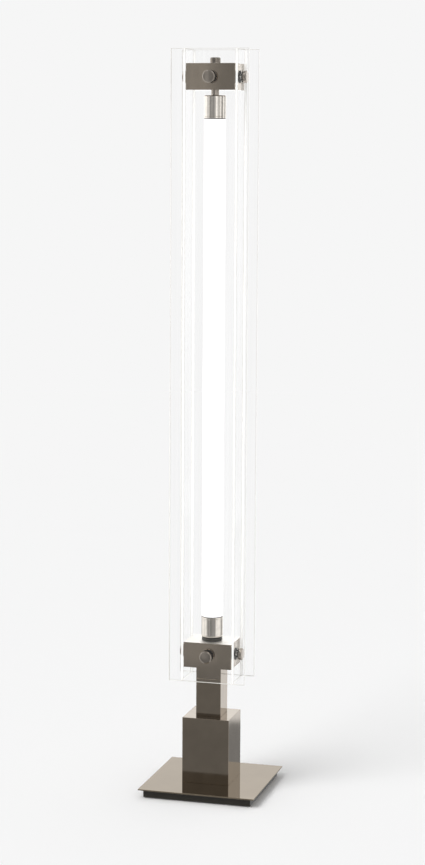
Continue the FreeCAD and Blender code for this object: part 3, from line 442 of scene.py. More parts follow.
def slab(low, high, rounding=0.0, segments=3):
    """A square-edged block between two corners, its edges rounded."""
    bm = bmesh.new()
    bmesh.ops.create_cube(bm, size=1)
    low, high = Vector(low), Vector(high)
    bmesh.ops.scale(bm, vec=high - low, verts=bm.verts)
    bmesh.ops.translate(bm, vec=(low + high) / 2, verts=bm.verts)
    if rounding:
        bmesh.ops.bevel(bm, geom=bm.edges, offset=rounding, segments=segments, affect="EDGES", profile=0.5)
    return bm


def as_mesh(bm):
    bmesh.ops.recalc_face_normals(bm, faces=bm.faces)
    mesh = bpy.data.meshes.new("cutter")
    bm.to_mesh(mesh)
    bm.free()
    return mesh


def rod(start, towards, radius, depth, facets=48):
    """A plain round rod, used to cut a hole."""
    bm = bmesh.new()
    bmesh.ops.create_cone(bm, cap_ends=True, segments=facets, radius1=radius, radius2=radius, depth=depth)
    turn = Vector((0, 0, 1)).rotation_difference(Vector(towards)).to_matrix().to_4x4()
    middle = Vector(start) + Vector(towards) * depth / 2
    bmesh.ops.transform(bm, matrix=Matrix.Translation(middle) @ turn, verts=bm.verts)
    return as_mesh(bm)


def rounded(points, closed):
    """A profile of (radius, height, rounding) corners as points, with each rounding as a short arc."""
    path = []
    count = len(points)
    for i, (r, h, rounding) in enumerate(points):
        here = Vector((r, h))
        if not rounding or (not closed and i in (0, count - 1)):
            path.append(here)
            continue
        before = (Vector(points[i - 1][:2]) - here).normalized()
        after = (Vector(points[(i + 1) % count][:2]) - here).normalized()
        half = before.angle(after) / 2
        middle = here + (before + after).normalized() * rounding / math.sin(half)
        start = here + before * rounding / math.tan(half) - middle
        end = here + after * rounding / math.tan(half) - middle
        path += [middle + start.slerp(end, step / ARC_STEPS) * rounding for step in range(ARC_STEPS + 1)]
    return path


def turned(points, facets, centre, towards=(0, 0, 1), closed=True):
    """A turned solid: a profile of (radius, height, rounding) corners spun about an axis."""
    path = rounded(points, closed)
    turn = Vector((0, 0, 1)).rotation_difference(Vector(towards)).to_matrix()
    bm = bmesh.new()
    marks = bm.verts.layers.float.new(TURNING)
    rings = []
    travelled = 0.0
    for i, spot in enumerate(path):
        if i:
            travelled += (spot - path[i - 1]).length
        if spot.x < 1e-9:
            ring = [bm.verts.new(Vector(centre) + turn @ Vector((0, 0, spot.y)))]
        else:
            angles = [2 * math.pi * k / facets for k in range(facets)]
            ring = [bm.verts.new(Vector(centre) + turn @ Vector((spot.x * math.cos(a), spot.x * math.sin(a),
                                                                 spot.y))) for a in angles]
        for vertex in ring:
            vertex[marks] = travelled
        rings.append(ring)
    pairs = list(zip(rings, rings[1:])) + ([(rings[-1], rings[0])] if closed else [])
    for one, two in pairs:
        for k in range(facets):
            corners = [one[k % len(one)], one[(k + 1) % facets % len(one)],
                       two[(k + 1) % facets % len(two)], two[k % len(two)]]
            corners = list(dict.fromkeys(corners))
            if len(corners) > 2:
                bm.faces.new(corners)
    return bm


def box_of(node):
    low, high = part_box(node)
    return low, high, (low + high) / 2


def joined(*parts):
    """Several meshes or bmeshes as one bmesh."""
    whole = bmesh.new()
    whole.verts.layers.float.new(TURNING)
    for part in parts:
        mesh = part
        if isinstance(part, bmesh.types.BMesh):
            mesh = bpy.data.meshes.new("part")
            part.to_mesh(mesh)
            part.free()
        whole.from_mesh(mesh)
        bpy.data.meshes.remove(mesh)
    return whole


# ---------------------------------------------------------------- geometry node trees

def new_tree(name, floats, whole=()):
    """A tree that takes geometry, the named numbers and a finish."""
    tree = bpy.data.node_groups.new(name, "GeometryNodeTree")
    kinds = {"Geometry": "Geometry", **dict.fromkeys(floats, "Float"), **dict.fromkeys(whole, "Int"),
             "Finish": "Material"}
    for socket, kind in kinds.items():
        tree.interface.new_socket(socket, in_out="INPUT", socket_type=f"NodeSocket{kind}")
    tree.interface.new_socket("Geometry", in_out="OUTPUT", socket_type="NodeSocketGeometry")
    return tree, add(tree, "NodeGroupInput").outputs


def end_tree(tree, geometry, given):
    """Every tree ends the same way: real geometry, shaded smooth, in one finish."""
    real = add(tree, "GeometryNodeRealizeInstances", {"Geometry": geometry})
    coat = add(tree, "GeometryNodeSetMaterial", {"Geometry": real, "Material": given["Finish"]})
    add(tree, "NodeGroupOutput", {"Geometry": coat})
    return tree


def thread_tree():
    """A screw thread: a diamond section swept up a helix, round a plain core."""
    tree, given = new_tree("Screw thread", ("Radius", "Depth", "Pitch", "Length"))
    turns = add(tree, "ShaderNodeMath", {0: given["Length"], 1: given["Pitch"]}, operation="DIVIDE")
    root = add(tree, "ShaderNodeMath", {0: given["Radius"], 1: given["Depth"]}, operation="SUBTRACT")
    helix = add(tree, "GeometryNodeCurveSpiral", {"Resolution": 24, "Rotations": turns, "Start Radius": root,
                                                  "End Radius": root, "Height": given["Length"]})
    upright = add(tree, "GeometryNodeSetCurveNormal", {"Curve": helix}, mode="Z_UP")
    section = add(tree, "GeometryNodeCurvePrimitiveCircle", {"Resolution": 4, "Radius": given["Depth"]})
    ridge = add(tree, "GeometryNodeCurveToMesh", {"Curve": upright, "Profile Curve": section,
                                                  "Fill Caps": True})
    core = add(tree, "GeometryNodeMeshCylinder", {"Vertices": 32, "Radius": root, "Depth": given["Length"]})
    half = add(tree, "ShaderNodeMath", {0: given["Length"], 1: 0.5}, operation="MULTIPLY")
    lift = add(tree, "ShaderNodeCombineXYZ", {"Z": half})
    raised = add(tree, "GeometryNodeTransform", {"Geometry": core.outputs["Mesh"], "Translation": lift})
    both = add(tree, "GeometryNodeJoinGeometry")
    tree.links.new(ridge.outputs[0], both.inputs[0])
    tree.links.new(raised.outputs[0], both.inputs[0])
    return end_tree(tree, both, given)


def ring_tree():
    """Flat rings with soft edges, one on each point, facing the way that the point says."""
    tree, given = new_tree("Flat rings", ("Outer", "Inner", "Thickness", "Edge"), ("Facets",))
    total = add(tree, "ShaderNodeMath", {0: given["Outer"], 1: given["Inner"]}, operation="ADD")
    middle = add(tree, "ShaderNodeMath", {0: total, 1: 0.5}, operation="MULTIPLY")
    width = add(tree, "ShaderNodeMath", {0: given["Outer"], 1: given["Inner"]}, operation="SUBTRACT")
    circle = add(tree, "GeometryNodeCurvePrimitiveCircle", {"Resolution": given["Facets"], "Radius": middle})
    section = add(tree, "GeometryNodeCurvePrimitiveQuadrilateral", {"Width": width, "Height": given["Thickness"]})
    soft = add(tree, "GeometryNodeFilletCurve", {"Curve": section, "Radius": given["Edge"], "Count": 2},
               mode="POLY")
    band = add(tree, "GeometryNodeCurveToMesh", {"Curve": circle, "Profile Curve": soft})
    way = add(tree, "GeometryNodeInputNamedAttribute", {"Name": FACING}, data_type="FLOAT_VECTOR")
    turn = add(tree, "FunctionNodeAlignRotationToVector", {"Vector": way}, axis="Z")
    rings = add(tree, "GeometryNodeInstanceOnPoints", {"Points": given["Geometry"], "Instance": band,
                                                       "Rotation": turn})
    return end_tree(tree, rings, given)


def chip_tree():
    """Light chips at an even pitch along each line, facing away from the lamp's axis."""
    tree, given = new_tree("Light chips", ("Pitch", "Side", "Height"))
    line = add(tree, "GeometryNodeMeshToCurve", {"Mesh": given["Geometry"]})
    spots = add(tree, "GeometryNodeResampleCurve", {"Curve": line, "Length": given["Pitch"]},
                mode="LENGTH")
    size = add(tree, "ShaderNodeCombineXYZ", {"X": given["Side"], "Y": given["Side"], "Z": given["Height"]})
    chip = add(tree, "GeometryNodeMeshCube", {"Size": size})
    place = add(tree, "GeometryNodeInputPosition")
    outward = add(tree, "ShaderNodeVectorMath", {0: place, 1: (1, 1, 0)}, operation="MULTIPLY")
    turn = add(tree, "FunctionNodeAlignRotationToVector", {"Vector": outward}, axis="Z")
    chips = add(tree, "GeometryNodeInstanceOnPoints", {"Points": spots, "Instance": chip,
                                                       "Rotation": turn})
    return end_tree(tree, chips, given)


def grown(name, mesh, tree, **values):
    """Runs a tree on a mesh and keeps the result as a plain mesh."""
    piece = set_down(name, mesh)
    steps = piece.modifiers.new("grow", "NODES")
    steps.node_group = tree
    identifiers = {item.name: item.identifier for item in tree.interface.items_tree if item.in_out == "INPUT"}
    for key, value in values.items():
        steps[identifiers[key]] = value
    return settle(piece)


def points_mesh(spots, ways=(), lines=()):
    """Loose points, or lines between them, with the way each one faces."""
    mesh = bpy.data.meshes.new("points")
    mesh.from_pydata([tuple(spot) for spot in spots], list(lines), [])
    if ways:
        layer = mesh.attributes.new(FACING, "FLOAT_VECTOR", "POINT")
        for item, way in zip(layer.data, ways):
            item.vector = way
    return mesh


def rings(name, tree, spots, ways, outer, inner, thickness, finish, node):
    """A set of flat rings as one piece."""
    sizes = bpy.context.scene.lamp_sizes
    piece = grown(name, points_mesh(spots, ways), tree, Outer=outer, Inner=inner, Thickness=thickness,
                  Edge=min(0.2 * MM, thickness / 4), Facets=sizes.facets // 2, Finish=FINISHES[finish])
    piece.data.shade_smooth()
    piece.data.set_sharp_from_angle(angle=SHARP_ANGLE)
    hand_over(piece, node)
    return piece


# ---------------------------------------------------------------- operators, one for each group of pieces

class LAMP_OT_base(bpy.types.Operator):
    """Makes the mirror sheet, the plinth under it, its feet and its cover"""

    bl_idname = "lamp.base"
    bl_label = "Base"

    def execute(self, context):
        sizes = context.scene.lamp_sizes
        low, high, _ = box_of("base_top_sheet")
        finished("base_sheet_polished", slab(low, high, sizes.sheet_round), ["mirror"], "base_top_sheet")
        low, high, _ = box_of("plinth_weight")
        cover_low, cover_high, _ = box_of("underside_cover")
        room = 0.3 * MM
        pocket = slab((cover_low.x - room, cover_low.y - room, low.z - room),
                      (cover_high.x + room, cover_high.y + room, cover_high.z + room))
        gland_low, gland_high, gland_middle = box_of("cord_gland")
        inlet = rod((0, high.y + room, gland_middle.z), (0, -1, 0), GLAND_SEAT, 9.3 * MM)
        finished("plinth_lacquered", slab(low, high, sizes.plinth_round), ["lacquer"], "plinth_weight",
                 [as_mesh(pocket), inlet])
        finished("underside_cover_sheet", slab(cover_low, cover_high, 0.3 * MM, 2), ["lacquer"], "underside_cover")
        self.pads(sizes)
        self.gland(sizes, gland_low, gland_high, gland_middle)
        return {"FINISHED"}

    def pads(self, sizes):
        """Four moulded feet, each with two grooves in its sole."""
        low, high, _ = box_of("foot_pads")
        radius = PAD_RADIUS
        top = high.z - low.z
        groove = 0.6 * MM
        soft = 0.25 * MM
        profile = [(0, top, 0), (radius, top, soft), (radius, 0, 0.5 * MM)]
        for share in (0.75, 0.45):
            middle = radius * share
            profile += [(middle + 1.2 * MM, 0, soft), (middle + 0.8 * MM, groove, 0),
                        (middle - 0.8 * MM, groove, 0), (middle - 1.2 * MM, 0, soft)]
        profile += [(0, 0, 0)]
        feet = [turned(profile, sizes.facets // 2, (x, y, 0), closed=False)
                for x in (low.x + radius, high.x - radius) for y in (low.y + radius, high.y - radius)]
        finished("foot_pads_moulded", joined(*feet), ["rubber"], "foot_pads")

    def gland(self, sizes, low, high, middle):
        """Moulded bush with a flared mouth, so that a cord isn't cut by its edge."""
        bore = CORD_BORE
        sleeve = 6 * MM
        flange = min(middle.z - low.z, high.x)
        depth = high.y - low.y
        lip = 2 * MM
        profile = [(bore, 0, 0.3 * MM), (sleeve, 0, 0.3 * MM), (sleeve, depth - lip, 0),
                   (flange, depth - lip, 0.2 * MM), (flange, depth, 0.8 * MM), (bore, depth, 0.9 * MM)]
        finished("cord_gland_moulded", turned(profile, sizes.facets, (0, low.y, middle.z), (0, 1, 0)),
                 ["plastic"], "cord_gland")


class LAMP_OT_column(bpy.types.Operator):
    """Makes the block on the base, the post on the block and the two brackets"""

    bl_idname = "lamp.column"
    bl_label = "Block, post and brackets"

    def execute(self, context):
        sizes = context.scene.lamp_sizes
        wall = sizes.block_wall
        below = Vector((0, 0, 1 * MM))
        low, high, _ = box_of("block_shell")
        room = Vector((wall, wall, 0))
        hollow = as_mesh(slab(low + room - below, high - room - Vector((0, 0, wall))))
        bore = rod((0, 0, high.z - 2 * wall), (0, 0, 1), ROD_BORE, 3 * wall)
        finished("block_shell_plated", slab(low, high, sizes.edge_round), ["bronze"], "block_shell", [hollow, bore])
        low, high, _ = box_of("post")
        hollow = as_mesh(slab(low + room - below, high - room + below))
        finished("post_plated", slab(low, high, sizes.edge_round), ["bronze"], "post", [hollow])
        for level in LEVELS:
            self.bracket(sizes, f"{level}_bracket")
        return {"FINISHED"}

    def bracket(self, sizes, node):
        """A polished bar with a threaded hole for a knob in each side."""
        low, high, middle = box_of(node)
        half = (high - low) / 2
        cutters = []
        for way in SIDES.values():
            reach = half.x if way.x else half.y
            start = middle + way * (reach + 1 * MM)
            cutters.append(rod(start, -way, sizes.stud_hole / 2, sizes.stud_hole_depth + 1 * MM, 32))
        shaft = SPINDLE_BORE if node == "upper_bracket" else ROD_BORE
        cutters.append(rod((0, 0, low.z - 1 * MM), (0, 0, 1), shaft, high.z - low.z + 2 * MM))
        if node == "upper_bracket":
            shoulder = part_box("spindle")[1].x + 0.05 * MM
            cutters.append(rod((0, 0, low.z - 1 * MM), (0, 0, 1), shoulder, SHOULDER_CUT))
        bar = finished(f"{node}_plated", slab(low, high, sizes.edge_round), ["bronze", "satin"], node, cutters)
        for face in bar.data.polygons:
            # the top faces take the pale satin plate, whose paleness is painted glare of the lit tube
            face.material_index = 1 if face.normal.z > 0.9 and face.center.z > high.z - 0.1 * MM else 0


class LAMP_OT_sockets(bpy.types.Operator):
    """Makes the two turned sockets, the seat ring, the spindle and the nut on top"""

    bl_idname = "lamp.sockets"
    bl_label = "Sockets and spindle"

    def execute(self, context):
        sizes = context.scene.lamp_sizes
        low, high, _ = box_of("seat_ring")
        tall = high.z - low.z
        profile = [(ROD_BORE, 0, 0.3 * MM), (high.x, 0, 0.5 * MM), (high.x, tall, 0.5 * MM),
                   (ROD_BORE, tall, 0.3 * MM)]
        finished("seat_ring_turned", turned(profile, sizes.facets, (0, 0, low.z)), ["lacquer"], "seat_ring")
        self.cup(sizes, "lower_socket", (0, 0, 1), ROD_BORE, 4 * MM, 5 * MM)
        self.cup(sizes, "upper_socket", (0, 0, -1), SPINDLE_BORE, 8 * MM, 2.5 * MM)
        self.spindle(sizes)
        low, high, _ = box_of("top_nut")
        tall = high.z - low.z
        bevel = sizes.knob_bevel
        soft = 0.2 * MM
        profile = [(5.1 * MM, 0, 0), (high.x, 0, soft), (high.x, tall - bevel, soft), (high.x - bevel, tall, soft),
                   (5.1 * MM, tall, soft)]
        finished("top_nut_turned", turned(profile, sizes.facets, (0, 0, low.z)), ["nut"], "top_nut")
        return {"FINISHED"}

    def cup(self, sizes, node, towards, hole, floor, rounding):
        """A turned cup, standing on its closed end, with a groove near its rim."""
        low, high, _ = box_of(node)
        foot = low.z if towards[2] > 0 else high.z
        radius = high.x
        tall = high.z - low.z
        bore = radius - sizes.socket_wall
        groove = sizes.rim_groove
        step = tall - 3 * MM
        profile = [
            (bore, floor, 0), (hole, floor, 0), (hole, 0, 0.3 * MM), (radius, 0, rounding),
            (radius, step - groove, 0), (radius - groove / 2, step - groove / 2, 0), (radius, step, 0),
            (radius, tall, 0.4 * MM), (bore, tall, 0.4 * MM),
        ]
        finished(f"{node}_turned", turned(profile, sizes.facets, (0, 0, foot), towards), ["bright"], node)

    def spindle(self, sizes):
        """The threaded rod, with the shoulder that shows as the neck."""
        low, high, _ = box_of("spindle")
        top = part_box("upper_socket")[1].z - low.z
        shoulder = high.x
        shoulder_top = top + SHOULDER
        tall = high.z - low.z
        thread = 5 * MM
        soft = 0.4 * MM
        profile = [(0, 0, 0), (thread, 0, soft), (thread, top, 0), (shoulder, top, soft),
                   (shoulder, shoulder_top, soft), (thread, shoulder_top, 0), (thread, tall, soft), (0, tall, 0)]
        finished("spindle_turned", turned(profile, sizes.facets, (0, 0, low.z), closed=False), ["knob"], "spindle")


class LAMP_OT_tube(bpy.types.Operator):
    """Makes the opal tube, its end caps and the light strips inside it"""

    bl_idname = "lamp.tube"
    bl_label = "Light tube"

    def execute(self, context):
        sizes = context.scene.lamp_sizes
        low, high, _ = box_of("diffuser_tube")
        tall = high.z - low.z
        bore = high.x - sizes.tube_wall
        soft = 0.5 * MM
        profile = [(bore, 0, soft), (high.x, 0, soft), (high.x, tall, soft), (bore, tall, soft)]
        finished("diffuser_tube_opal", turned(profile, sizes.facets, (0, 0, low.z)), ["opal"], "diffuser_tube")
        self.cap(sizes, "lower_tube_cap", low.z, (0, 0, 1), bore)
        self.cap(sizes, "upper_tube_cap", high.z, (0, 0, -1), bore)
        self.strips(sizes)
        return {"FINISHED"}

    def cap(self, sizes, node, seam, towards, bore):
        """An end cap: a plug in the tube, a flange at its end and a spigot in the socket."""
        low, high, _ = box_of(node)
        start = low.z if towards[2] > 0 else high.z
        tall = high.z - low.z
        seat = abs(seam - start)
        flange = 1.2 * MM
        plug = bore - 0.15 * MM
        profile = [(0, 0, 0), (SPIGOT, 0, 0.5 * MM), (SPIGOT, seat - flange, 0), (high.x, seat - flange, 0.2 * MM),
                   (high.x, seat, 0.2 * MM), (plug, seat, 0), (plug, tall, 0.6 * MM), (0, tall, 0)]
        finished(f"{node}_moulded", turned(profile, sizes.facets, (0, 0, start), towards, closed=False),
                 ["plastic"], node)

    def strips(self, sizes):
        """Four narrow circuit boards on the core, each with its row of chips."""
        low, high, _ = box_of("led_strips")
        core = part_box("led_core")[1].x
        board = 0.6 * MM
        chip = high.x - core - board
        width = 5 * MM
        boards = []
        spots = []
        for way in SIDES.values():
            across = Vector((-way.y, way.x, 0)) * width
            corners = [way * core - across, way * (core + board) + across]
            boards.append(slab([min(c[i] for c in corners) for i in range(2)] + [low.z],
                               [max(c[i] for c in corners) for i in range(2)] + [high.z]))
            out = way * (core + board + chip / 2)
            spots += [out + Vector((0, 0, low.z + sizes.chip_pitch / 2)),
                      out + Vector((0, 0, high.z - sizes.chip_pitch / 2))]
        lines = [(i, i + 1) for i in range(0, len(spots), 2)]
        chips = grown("light_chips", points_mesh(spots, lines=lines), chip_tree(), Pitch=sizes.chip_pitch,
                      Side=2.8 * MM, Height=chip, Finish=FINISHES["chip"])
        hand_over(chips, "led_strips", replaced=False)
        finished("led_strips_board", joined(*boards), ["board"], "led_strips")


class LAMP_OT_glass(bpy.types.Operator):
    """Makes the four glass plates, with ground edges and holes for the knobs"""

    bl_idname = "lamp.glass"
    bl_label = "Glass plates"

    def execute(self, context):
        sizes = context.scene.lamp_sizes
        for side, way in SIDES.items():
            node = f"glass_{side}"
            low, high, middle = box_of(node)
            cutters = []
            for level in LEVELS:
                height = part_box(f"{level}_bracket")
                spot = Vector((middle.x, middle.y, (height[0].z + height[1].z) / 2))
                cutters.append(rod(spot - way * 5 * MM, way, sizes.glass_hole / 2, 10 * MM, 40))
            plate = finished(f"{node}_plate", slab(low, high, sizes.glass_arris, 1), ["glass", "edge", "arris"],
                             node, cutters)
            for face in plate.data.polygons:
                square = max(abs(part) for part in face.normal) > 0.99
                face.material_index = 0 if abs(face.normal.dot(way)) > 0.99 else 1 if square else 2
        return {"FINISHED"}


class LAMP_OT_knobs(bpy.types.Operator):
    """Makes the eight knobs with their washers, and the gaskets and bushes at the glass"""

    bl_idname = "lamp.knobs"
    bl_label = "Knobs and washers"

    def execute(self, context):
        sizes = context.scene.lamp_sizes
        ring = ring_tree()
        thread = thread_tree()
        gaskets = []
        bushes = []
        for level in LEVELS:
            for side, way in SIDES.items():
                spot = self.knob(sizes, thread, level, side, way)
                washer = f"washer_{level}_{side}"
                low, high, middle = box_of(washer)
                outer = (high.z - low.z) / 2
                rings(f"{washer}_ring", ring, [middle], [way], outer, WASHER_BORE, WASHER_THICKNESS, "plastic",
                      washer)
                low, high, middle = box_of(f"glass_{side}")
                plane = middle.dot(way)
                bushes.append((spot + way * plane, way))
                gaskets.append((spot + way * (plane - GASKET_OFFSET), way))
        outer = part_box("glass_gaskets")[1].z - spot.z
        rings("glass_gaskets_cut", ring, *zip(*gaskets), outer, BUSH_BORE, GASKET_THICKNESS, "rubber",
              "glass_gaskets")
        rings("glass_bushes_moulded", ring, *zip(*bushes), BUSH_RADIUS, BUSH_BORE, GLASS_THICKNESS, "nylon",
              "glass_bushes")
        return {"FINISHED"}

    def knob(self, sizes, thread, level, side, way):
        """A turned head with a slightly crowned face, and its threaded stud. Returns its place on the axis."""
        node = f"knob_{level}_{side}"
        low, high, middle = box_of(node)
        radius = (high.z - low.z) / 2
        outer = max(low.dot(way), high.dot(way))
        inner = min(low.dot(way), high.dot(way))
        spot = Vector((0, 0, middle.z))
        head = KNOB_HEAD
        bevel = sizes.knob_bevel
        crown = sizes.knob_crown
        soft = 0.2 * MM
        profile = [(0, 0, 0), (radius - bevel, 0, soft), (radius, bevel, soft), (radius, head - bevel, soft),
                   (radius - bevel, head - crown, soft), (radius * 0.55, head - crown * 0.3, 0),
                   (radius * 0.25, head - crown * 0.05, 0), (0, head, 0)]
        cap = turned(profile, sizes.facets, spot + way * (outer - head), way, closed=False)
        stud = grown("stud", points_mesh([(0, 0, 0)]), thread, Radius=sizes.stud_diameter / 2,
                     Depth=sizes.thread_depth, Pitch=sizes.thread_pitch, Length=outer - head - inner,
                     Finish=FINISHES["knob"])
        turn = Vector((0, 0, 1)).rotation_difference(way).to_matrix().to_4x4()
        screw = stud.data
        screw.transform(Matrix.Translation(spot + way * inner) @ turn)
        bpy.data.objects.remove(stud)
        finished(f"{node}_turned", joined(cap, screw), ["knob"], node)
        return spot


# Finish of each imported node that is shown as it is.
KEPT_NODES = {
    "block_base_plate": "zinc", "base_screws": "zinc", "driver": "white", "driver_bracket": "zinc",
    "driver_screws": "zinc", "terminal_block": "plastic", "post_plugs": "zinc", "tie_rod": "zinc",
    "rod_nuts": "zinc", "rod_washers": "zinc", "light_lead": "white", "lower_holder": "plastic",
    "holder_contacts": "brass", "contact_pins": "brass", "led_core": "aluminium",
}


class LAMP_OT_inside(bpy.types.Operator):
    """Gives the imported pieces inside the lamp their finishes"""

    bl_idname = "lamp.inside"
    bl_label = "Inner pieces"

    def execute(self, context):
        for node, finish in KEPT_NODES.items():
            piece = frame["nodes"][node]
            piece.data.materials.clear()
            piece.data.materials.append(FINISHES[finish])
        return {"FINISHED"}


def plain_cloth(back):
    """A cloth that is dark in front, even at the sides and as bright as given at the back."""
    return (-180, back), (-60, 1.0), (-35, 0.3), (5, 0.3), (40, 0.6), (80, 1.0), (150, back), (180, back)


# The studio that the metal mirrors: cloths round the lamp, from the floor up. Each has its lowest and highest
# height in metres, then azimuths in degrees, 0 in front of the lamp and 90 at its right, with their brightness.
CLOTH_REACH = 1.0
CLOTHS = (
    # the floor, darker in a narrow band behind the lamp at its right
    (-1.40, -0.135, ((-180, 1.0), (-60, 1.0), (-35, 0.30), (5, 0.30), (40, 0.5), (80, 1.0), (150, 1.0),
                     (156, 0.34), (168, 0.34), (174, 1.0), (180, 1.0))),
    # a low edge, which the block and the sheet mirror
    (-0.12, 0.015, ((-180, 1.21), (-60, 1.0), (-35, 0.32), (5, 0.32), (40, 0.5), (80, 1.0), (150, 1.2),
                    (180, 1.21))),
    # narrow strips, which make the stripes of the lower socket
    (0.04, 0.20, ((-180, 1.25), (-152, 1.25), (-147, 0.3), (-138, 0.3), (-132, 1.0), (-97, 1.25), (-52, 1.25),
                  (-46, 0.8), (-36, 0.5), (-28, 0.22), (-21, 0.22), (-19, 0.55), (-15, 0.5), (-11.5, 0.36),
                  (-8, 0.22), (12, 0.25), (25, 0.35), (40, 0.3), (50, 0.45), (58, 1.2), (108, 1.2), (118, 0.8),
                  (130, 0.5), (144, 0.25), (152, 0.3), (157, 1.3), (180, 1.25))),
    # plain cloths, which the sheet, the block's top and the lower bracket mirror
    (0.28, 0.37, plain_cloth(1.02)),
    (0.40, 0.46, plain_cloth(1.65)),
    (0.50, 0.65, plain_cloth(1.3)),
    # tall strips, which make the stripes of the upper socket
    (0.9, 2.1, ((-180, 1.2), (-165, 1.5), (-78, 1.5), (-72, 0.87), (-46, 0.87), (-40, 0.3), (-20, 0.3),
                (-18.5, 0.66), (-14.9, 0.62), (-14.3, 0.36), (-11, 0.36), (-8, 0.3), (6, 0.34), (12, 0.55),
                (22, 0.6), (27, 1.4), (38, 1.4), (43, 0.7), (68, 0.7), (73, 1.3), (80, 1.3), (88, 0.3),
                (100, 0.3), (107, 1.3), (120, 1.3), (130, 0.65), (152, 0.65), (158, 1.7), (168, 1.7),
                (174, 1.2), (180, 1.2))),
    # a lamp near the ceiling, at the front left, and the ceiling
    (2.4, 3.5, ((-180, 0.9), (-80, 0.9), (-65, 2.4), (-35, 2.4), (-20, 0.9), (180, 0.9))),
    (4.0, 7.0, ((-180, 0.5), (180, 0.5))),
)


def between(table, spot):
    """The value of a table at a spot, in a straight line from each row to the next."""
    for (start, low), (end, high) in zip(table, table[1:]):
        if spot <= end:
            return low + (high - low) * (spot - start) / (end - start)
    return table[-1][1]


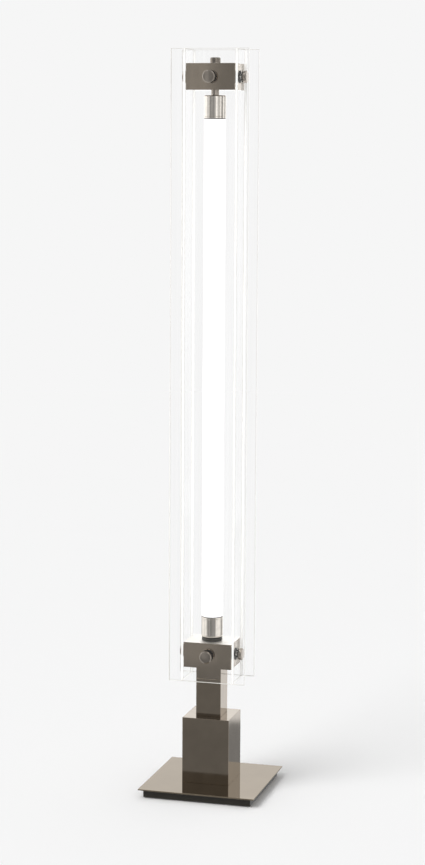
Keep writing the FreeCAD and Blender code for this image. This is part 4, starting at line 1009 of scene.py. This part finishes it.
class LAMP_OT_stage(bpy.types.Operator):
    """Sets the floor, the light, the reflection screen and the camera"""

    bl_idname = "lamp.stage"
    bl_label = "Stage"

    def execute(self, context):
        scene = context.scene
        stage = scene.lamp_stage
        scene.view_settings.view_transform = "Standard"
        self.world(scene, stage)
        self.floor(stage)
        self.lamps(stage)
        self.screen()
        self.camera(scene, stage)
        return {"FINISHED"}

    def world(self, scene, stage):
        """White behind the lamp and in its reflections, and a softer even light on it."""
        world = bpy.data.worlds.new("white studio")
        world.use_nodes = True
        tree = world.node_tree
        tree.nodes.clear()
        rays = add(tree, "ShaderNodeLightPath").outputs
        seen = rays["Is Camera Ray"]
        for kind in ("Is Glossy Ray", "Is Transmission Ray"):
            seen = add(tree, "ShaderNodeMath", {0: seen, 1: rays[kind]}, operation="MAXIMUM")
        share = add(tree, "ShaderNodeMapRange", {"Value": seen,
                                                 "To Min": stage.ambient / stage.background[0], "To Max": 1.0})
        light = add(tree, "ShaderNodeBackground", {"Color": stage.background, "Strength": share.outputs["Result"]})
        add(tree, "ShaderNodeOutputWorld", {"Surface": light})
        scene.world = world

    def floor(self, stage):
        """A wide pale floor, which the metal doesn't mirror: it shows the even white of the studio instead."""
        far = 200            # metres to each edge, past what any view sees
        mesh = bpy.data.meshes.new("floor")
        mesh.from_pydata([(-far, -far, 0), (far, -far, 0), (far, far, 0), (-far, far, 0)], [], [(0, 1, 2, 3)])
        material, tree = new_material("pale studio floor")
        pale = (stage.floor_white,) * 3 + (1.0,)
        matt = add(tree, "ShaderNodeBsdfDiffuse", {"Color": tinted(tree, pale, 0.999, 1.001,
                                                                   clouds(tree, 400.0, 0.0, 1.0))})
        even = add(tree, "ShaderNodeEmission", {"Color": stage.background, "Strength": 1.0})
        place = add(tree, "ShaderNodeTexCoord").outputs["Object"]
        away = add(tree, "ShaderNodeVectorMath", {0: place}, operation="LENGTH").outputs["Value"]
        share = add(tree, "ShaderNodeMapRange", {"Value": away, "From Min": 2.0, "From Max": 7.0},
                    interpolation_type="SMOOTHSTEP").outputs["Result"]
        shader = add(tree, "ShaderNodeMixShader", {0: share, 1: matt, 2: even})
        add(tree, "ShaderNodeOutputMaterial", {"Surface": shader})
        mesh.materials.append(material)
        floor = set_down("floor", mesh)
        floor.location.z = -0.1 * MM
        floor.visible_glossy = False

    def lamps(self, stage):
        """Two soft lamps share the light that the world leaves for the floor to reach its own colour.

        Each has its azimuth from the back, its height and its spread in degrees, and its share."""
        missing = stage.background[0] / stage.floor_white - stage.ambient
        for name, azimuth, height, spread, share in (
                ("key light", 217, 50, 34, stage.key_share),
                ("back light", 20, 40, 50, 1 - stage.key_share)):
            lamp = bpy.data.lights.new(name, "SUN")
            lamp.angle = math.radians(spread)
            rise = math.radians(height)
            lamp.energy = missing * share * math.pi / math.sin(rise)
            holder = set_down(name, lamp)
            turn = math.radians(azimuth)
            towards = Vector((math.sin(turn) * math.cos(rise), math.cos(turn) * math.cos(rise), math.sin(rise)))
            holder.rotation_euler = towards.to_track_quat("Z", "Y").to_euler()
            holder.visible_glossy = False

    def screen(self):
        """Grey and white cloths round the lamp that only reflections see, so that the metal has depth."""
        rows = [(height, cloth) for low, high, cloth in CLOTHS for height in (low, high)]
        azimuths = sorted({*range(-180, 181, 3), *(spot for _, cloth in rows for spot, _ in cloth)})
        verts = [(CLOTH_REACH * math.sin(math.radians(a)), -CLOTH_REACH * math.cos(math.radians(a)), height)
                 for height, _ in rows for a in azimuths]
        wide = len(azimuths)
        faces = [(row * wide + i, row * wide + i + 1, (row + 1) * wide + i + 1, (row + 1) * wide + i)
                 for row in range(len(rows) - 1) for i in range(wide - 1)]
        mesh = bpy.data.meshes.new("reflection screen")
        mesh.from_pydata(verts, [], faces)
        light = mesh.attributes.new("brightness", "FLOAT", "POINT")
        light.data.foreach_set("value", [between(cloth, a) for _, cloth in rows for a in azimuths])
        material, tree = new_material("studio cloths")
        bright = add(tree, "ShaderNodeAttribute", attribute_name="brightness").outputs["Fac"]
        glow = add(tree, "ShaderNodeEmission", {"Strength": bright})
        add(tree, "ShaderNodeOutputMaterial", {"Surface": glow})
        mesh.materials.append(material)
        screen = set_down("reflection_screen", mesh)
        for kind in ("camera", "diffuse", "transmission", "volume_scatter", "shadow"):
            setattr(screen, f"visible_{kind}", False)

    def camera(self, scene, stage):
        """Level across, aimed at the lamp's axis, then tilted down and rolled as the photograph is."""
        data = bpy.data.cameras.new("camera")
        data.sensor_fit = "VERTICAL"
        data.sensor_height = 36
        data.lens = stage.lens
        data.clip_end = 1000
        place = Vector(stage.camera_place)
        ahead = Vector((-place.x, -place.y, 0)).normalized()
        level = Matrix.Rotation(stage.camera_turn, 3, "Z") @ ahead.to_track_quat("-Z", "Y").to_matrix()
        tilt = Matrix.Rotation(-stage.camera_tilt, 3, "X")
        roll = Matrix.Rotation(stage.camera_roll, 3, "Z")
        camera = set_down("camera", data)
        camera.matrix_world = Matrix.Translation(place) @ (level @ tilt @ roll).to_4x4()
        scene.camera = camera


# ---------------------------------------------------------------- panel and start

PIECES = (LAMP_OT_base, LAMP_OT_column, LAMP_OT_sockets, LAMP_OT_tube, LAMP_OT_glass, LAMP_OT_knobs,
          LAMP_OT_inside, LAMP_OT_stage)


class LAMP_PT_lamp(bpy.types.Panel):
    """Sizes, colours and the pieces to make"""

    bl_idname = "LAMP_PT_lamp"
    bl_label = "Floor Lamp"
    bl_space_type = "VIEW_3D"
    bl_region_type = "UI"
    bl_category = "Floor Lamp"

    def draw(self, context):
        for group in (context.scene.lamp_sizes, context.scene.lamp_colours, context.scene.lamp_stage):
            box = self.layout.box()
            for key in group.bl_rna.properties.keys():
                if key not in ("rna_type", "name"):
                    box.prop(group, key)
        for piece in PIECES:
            self.layout.operator(piece.bl_idname)


CLASSES = (LampSizes, LampColours, LampStage) + PIECES + (LAMP_PT_lamp,)


def register():
    for one in CLASSES:
        bpy.utils.register_class(one)
    bpy.types.Scene.lamp_sizes = PointerProperty(type=LampSizes)
    bpy.types.Scene.lamp_colours = PointerProperty(type=LampColours)
    bpy.types.Scene.lamp_stage = PointerProperty(type=LampStage)


def unregister():
    del bpy.types.Scene.lamp_sizes, bpy.types.Scene.lamp_colours, bpy.types.Scene.lamp_stage
    for one in reversed(CLASSES):
        bpy.utils.unregister_class(one)


def main():
    """Registers the add-on, makes the finishes and makes every piece in order."""
    register()
    FINISHES.update(make_finishes(bpy.context.scene.lamp_colours))
    for piece in PIECES:
        getattr(bpy.ops.lamp, piece.bl_idname.partition(".")[2])()


if __name__ == "__main__":
    main()
